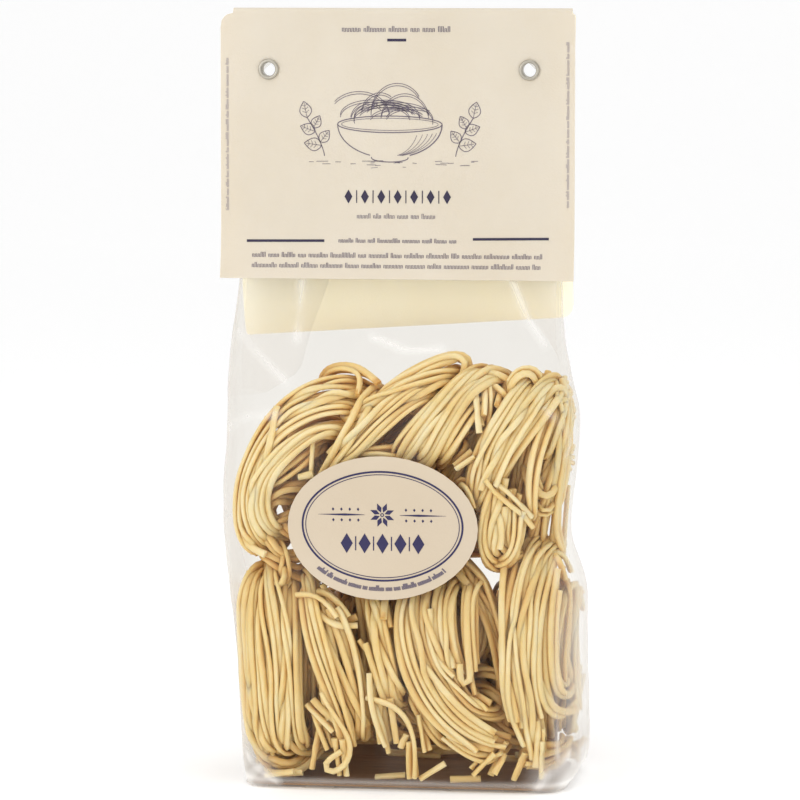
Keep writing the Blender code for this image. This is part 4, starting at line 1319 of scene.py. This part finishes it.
lines = scribble(-19.3, 15.4, 234.9, 1.7, ink_draw)
lines += scribble(-14.6, 11.0, 176.5, 1.5, ink_draw, 0.2)
lines += scribble(-20.4, 17.3, 168.9, 1.35, ink_draw, 0.22)
lines += scribble(-47.8, 44.3, 164.2, 1.5, ink_draw, 0.22)
lines += scribble(-47.8, 44.3, 161.0, 1.5, ink_draw, 0.22)
lay_ink("card_lines", lines, card_faces, ink_grey)

margins = []
for x, low, high in ((-55.5, 178.8, 227.2), (52.1, 180.3, 232.5)):
    for line, weight in scribble(low, high, 0.0, 0.9, ink_draw, 0.18):
        margins.append(([(x - up, along) for along, up in line], weight))
lay_ink("card_margin_lines", margins, card_faces, ink_faint)

# The eyelets: brass rings with a dull nickel finish, rolled over the card on both sides. They
# hold the card and the bag's neck together.


def eyelet_metal():
    """Nickel plating: warm grey, satin, with fine scratches and duller patches."""
    plating = {"Base Color": (0.42, 0.39, 0.33, 1), "Metallic": 1.0}
    material, tree, shader = new_material("nickel_eyelet", plating)
    place = add_node(tree, "TexCoord").outputs["Object"]
    wear = add_node(tree, "TexNoise", {"Vector": place, "Scale": 900.0, "Detail": 5.0})
    worn = wear.outputs["Fac"]
    dull = add_node(tree, "MapRange", {"Value": worn, "To Min": 0.25, "To Max": 0.5})
    bump = add_node(tree, "Bump", {"Height": worn, "Strength": 0.15, "Distance": 0.0001})
    feed(shader, {"Roughness": dull.outputs["Result"], "Normal": bump.outputs["Normal"]})
    return material


nickel = eyelet_metal()
for side in ("left", "right"):
    eyelet = dressed_copy("eyelet_" + side, "rolled_eyelet_" + side)
    rolling = eyelet.modifiers.new("rolling", "BEVEL")
    rolling.width = 0.12 * MM
    rolling.segments = 2
    rolling.limit_method = "ANGLE"
    rolling.angle_limit = math.radians(40)
    bpy.ops.object.modifier_apply(modifier="rolling")
    bpy.ops.object.shade_smooth_by_angle(angle=math.radians(60))
    eyelet.data.materials.append(nickel)
    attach(eyelet, "root")
    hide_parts("eyelet_" + side)

# The sticker: an oval of smooth cream paper stuck to the film, with a printed double ring. Its
# ornaments are generic.
sticker = dressed_copy("label", "oval_sticker")
bpy.ops.object.shade_smooth_by_angle(angle=math.radians(40))
sticker.data.materials.append(paper_material("sticker_paper", (0.60, 0.505, 0.385), 0.5, 0.3, 0.15))
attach(sticker, "root")
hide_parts("label")
sticker_face = BVHTree.FromObject(sticker, bpy.context.evaluated_depsgraph_get())
ink_navy = paper_material("navy_ink", (0.03, 0.025, 0.085), 0.5, 0.2, 0.1)
RING_MIDDLE = (label_middle[0], label_middle[2] + 0.6)
STAR_MIDDLE = np.array(RING_MIDDLE) + (0, 3.4)
navy = [
    (oval(RING_MIDDLE, 25.0, 17.0, steps=96), 0.6),
    (oval(RING_MIDDLE, 24.0, 16.1, steps=96), 0.25),
]
for k in range(5):
    navy.append(lozenge(RING_MIDDLE[0] - 11.2 + 5.6 * k, RING_MIDDLE[1] - 5.6, 1.9, 3.1))
for k in range(4):
    x = RING_MIDDLE[0] - 8.4 + 5.6 * k
    navy.append(([(x, RING_MIDDLE[1] - 7.8), (x, RING_MIDDLE[1] - 3.4)], 0.35))
for k in range(8):
    angle = math.radians(22.5 + 45 * k)
    out = np.array((math.cos(angle), math.sin(angle)))
    petal = [STAR_MIDDLE + out * r for r in (0.9, 2.2, 4.0)]
    navy.append((petal, (0.1, 1.5, 0.0)))
navy.append((oval(STAR_MIDDLE, 0.45, 0.45, steps=16), 0.3))
for way in (-1, 1):
    rule = [(STAR_MIDDLE[0] + way * reach, STAR_MIDDLE[1]) for reach in (5.5, 11.5, 20.0)]
    navy.append((rule, (0.1, 0.7, 0.05)))
    for k in range(4):
        for lift in (-1.7, 1.7):
            x = STAR_MIDDLE[0] + way * (7.5 + 2.6 * k)
            navy.append(lozenge(x, STAR_MIDDLE[1] + lift, 0.4, 0.55))
lay_ink("sticker_ornaments", navy, sticker_face, ink_navy)
rim = []
for line, weight in scribble(222, 318, 0.0, 1.9, ink_draw, 0.22):
    bent = []
    for turn, up in line:
        x = RING_MIDDLE[0] + (27.6 - up * 0.9) * math.cos(math.radians(turn))
        z = RING_MIDDLE[1] - 0.4 + (19.8 - up * 0.9) * math.sin(math.radians(turn))
        bent.append((x, z))
    rim.append((bent, weight))
lay_ink("sticker_rim_lines", rim, sticker_face, ink_grey)

# The studio: a white sweep, soft lights from the front left, from above and from the right, and
# a camera at the pack's front, a little above its middle and to its right.
bpy.ops.object.select_all(action="DESELECT")
bpy.ops.mesh.primitive_plane_add(size=7, location=(0, -0.9, -0.0003))
floor = bpy.context.object
floor.name = "studio_floor"
bpy.ops.object.transform_apply(location=True, rotation=True, scale=True)
bpy.ops.object.mode_set(mode="EDIT")
bpy.ops.mesh.select_mode(type="EDGE")
bpy.ops.mesh.select_all(action="DESELECT")
bpy.ops.object.mode_set(mode="OBJECT")
for edge in floor.data.edges:
    edge.select = all(floor.data.vertices[i].co.y > 2 for i in edge.vertices)
bpy.ops.object.mode_set(mode="EDIT")
bpy.ops.mesh.spin(steps=14, angle=math.radians(-90), center=(0, 2.6, 1.0), axis=(1, 0, 0))
bpy.ops.mesh.extrude_region_move(TRANSFORM_OT_translate={"value": (0, 0, 3)})
bpy.ops.object.mode_set(mode="OBJECT")
bpy.ops.object.shade_smooth()
studio_white = bpy.data.materials.new("studio_white")
studio_white.use_nodes = True
studio_shader = studio_white.node_tree.nodes["Principled BSDF"]
studio_shader.inputs["Base Color"].default_value = (0.93, 0.93, 0.93, 1)
studio_shader.inputs["Roughness"].default_value = 0.9
studio_shader.inputs["Emission Color"].default_value = (1, 1, 1, 1)
studio_shader.inputs["Emission Strength"].default_value = 0.16
floor.data.materials.append(studio_white)

world = bpy.data.worlds.new("studio")
bpy.context.scene.world = world
world.use_nodes = True
world.node_tree.nodes["Background"].inputs["Color"].default_value = (1, 1, 1, 1)
world.node_tree.nodes["Background"].inputs["Strength"].default_value = 0.8


def softbox(name, place, size, power):
    """A square soft light that faces the pack's middle."""
    data = bpy.data.lights.new(name, "AREA")
    data.energy = power
    data.size = size
    lamp = bpy.data.objects.new(name, data)
    bpy.context.scene.collection.objects.link(lamp)
    lamp.location = place
    lamp.rotation_euler = (Vector((0, 0, 0.1)) - lamp.location).to_track_quat("-Z", "Y").to_euler()


softbox("key_light", (-0.75, -1.2, 0.5), 0.7, 5.8)
softbox("top_light", (0.2, -0.3, 1.5), 1.0, 4.5)
softbox("fill_light", (1.1, -1.0, 0.3), 0.8, 2)

CAMERA_DISTANCE = 1.5
CAMERA_TURN = math.radians(8)
CAMERA_LIFT = math.radians(5.5)
VIEW_SPAN = 0.252
AIM = Vector((-0.0013, 0, 0.1192))
camera_data = bpy.data.cameras.new("camera")
camera_data.sensor_width = 36
camera_data.lens = 36 * CAMERA_DISTANCE / VIEW_SPAN
camera = bpy.data.objects.new("camera", camera_data)
bpy.context.scene.collection.objects.link(camera)
back = Vector((
    math.sin(CAMERA_TURN) * math.cos(CAMERA_LIFT),
    -math.cos(CAMERA_TURN) * math.cos(CAMERA_LIFT),
    math.sin(CAMERA_LIFT),
))
camera.location = AIM + back * CAMERA_DISTANCE
camera.rotation_euler = (-back).to_track_quat("-Z", "Y").to_euler()
bpy.context.scene.camera = camera
bpy.context.scene.view_settings.view_transform = "Standard"
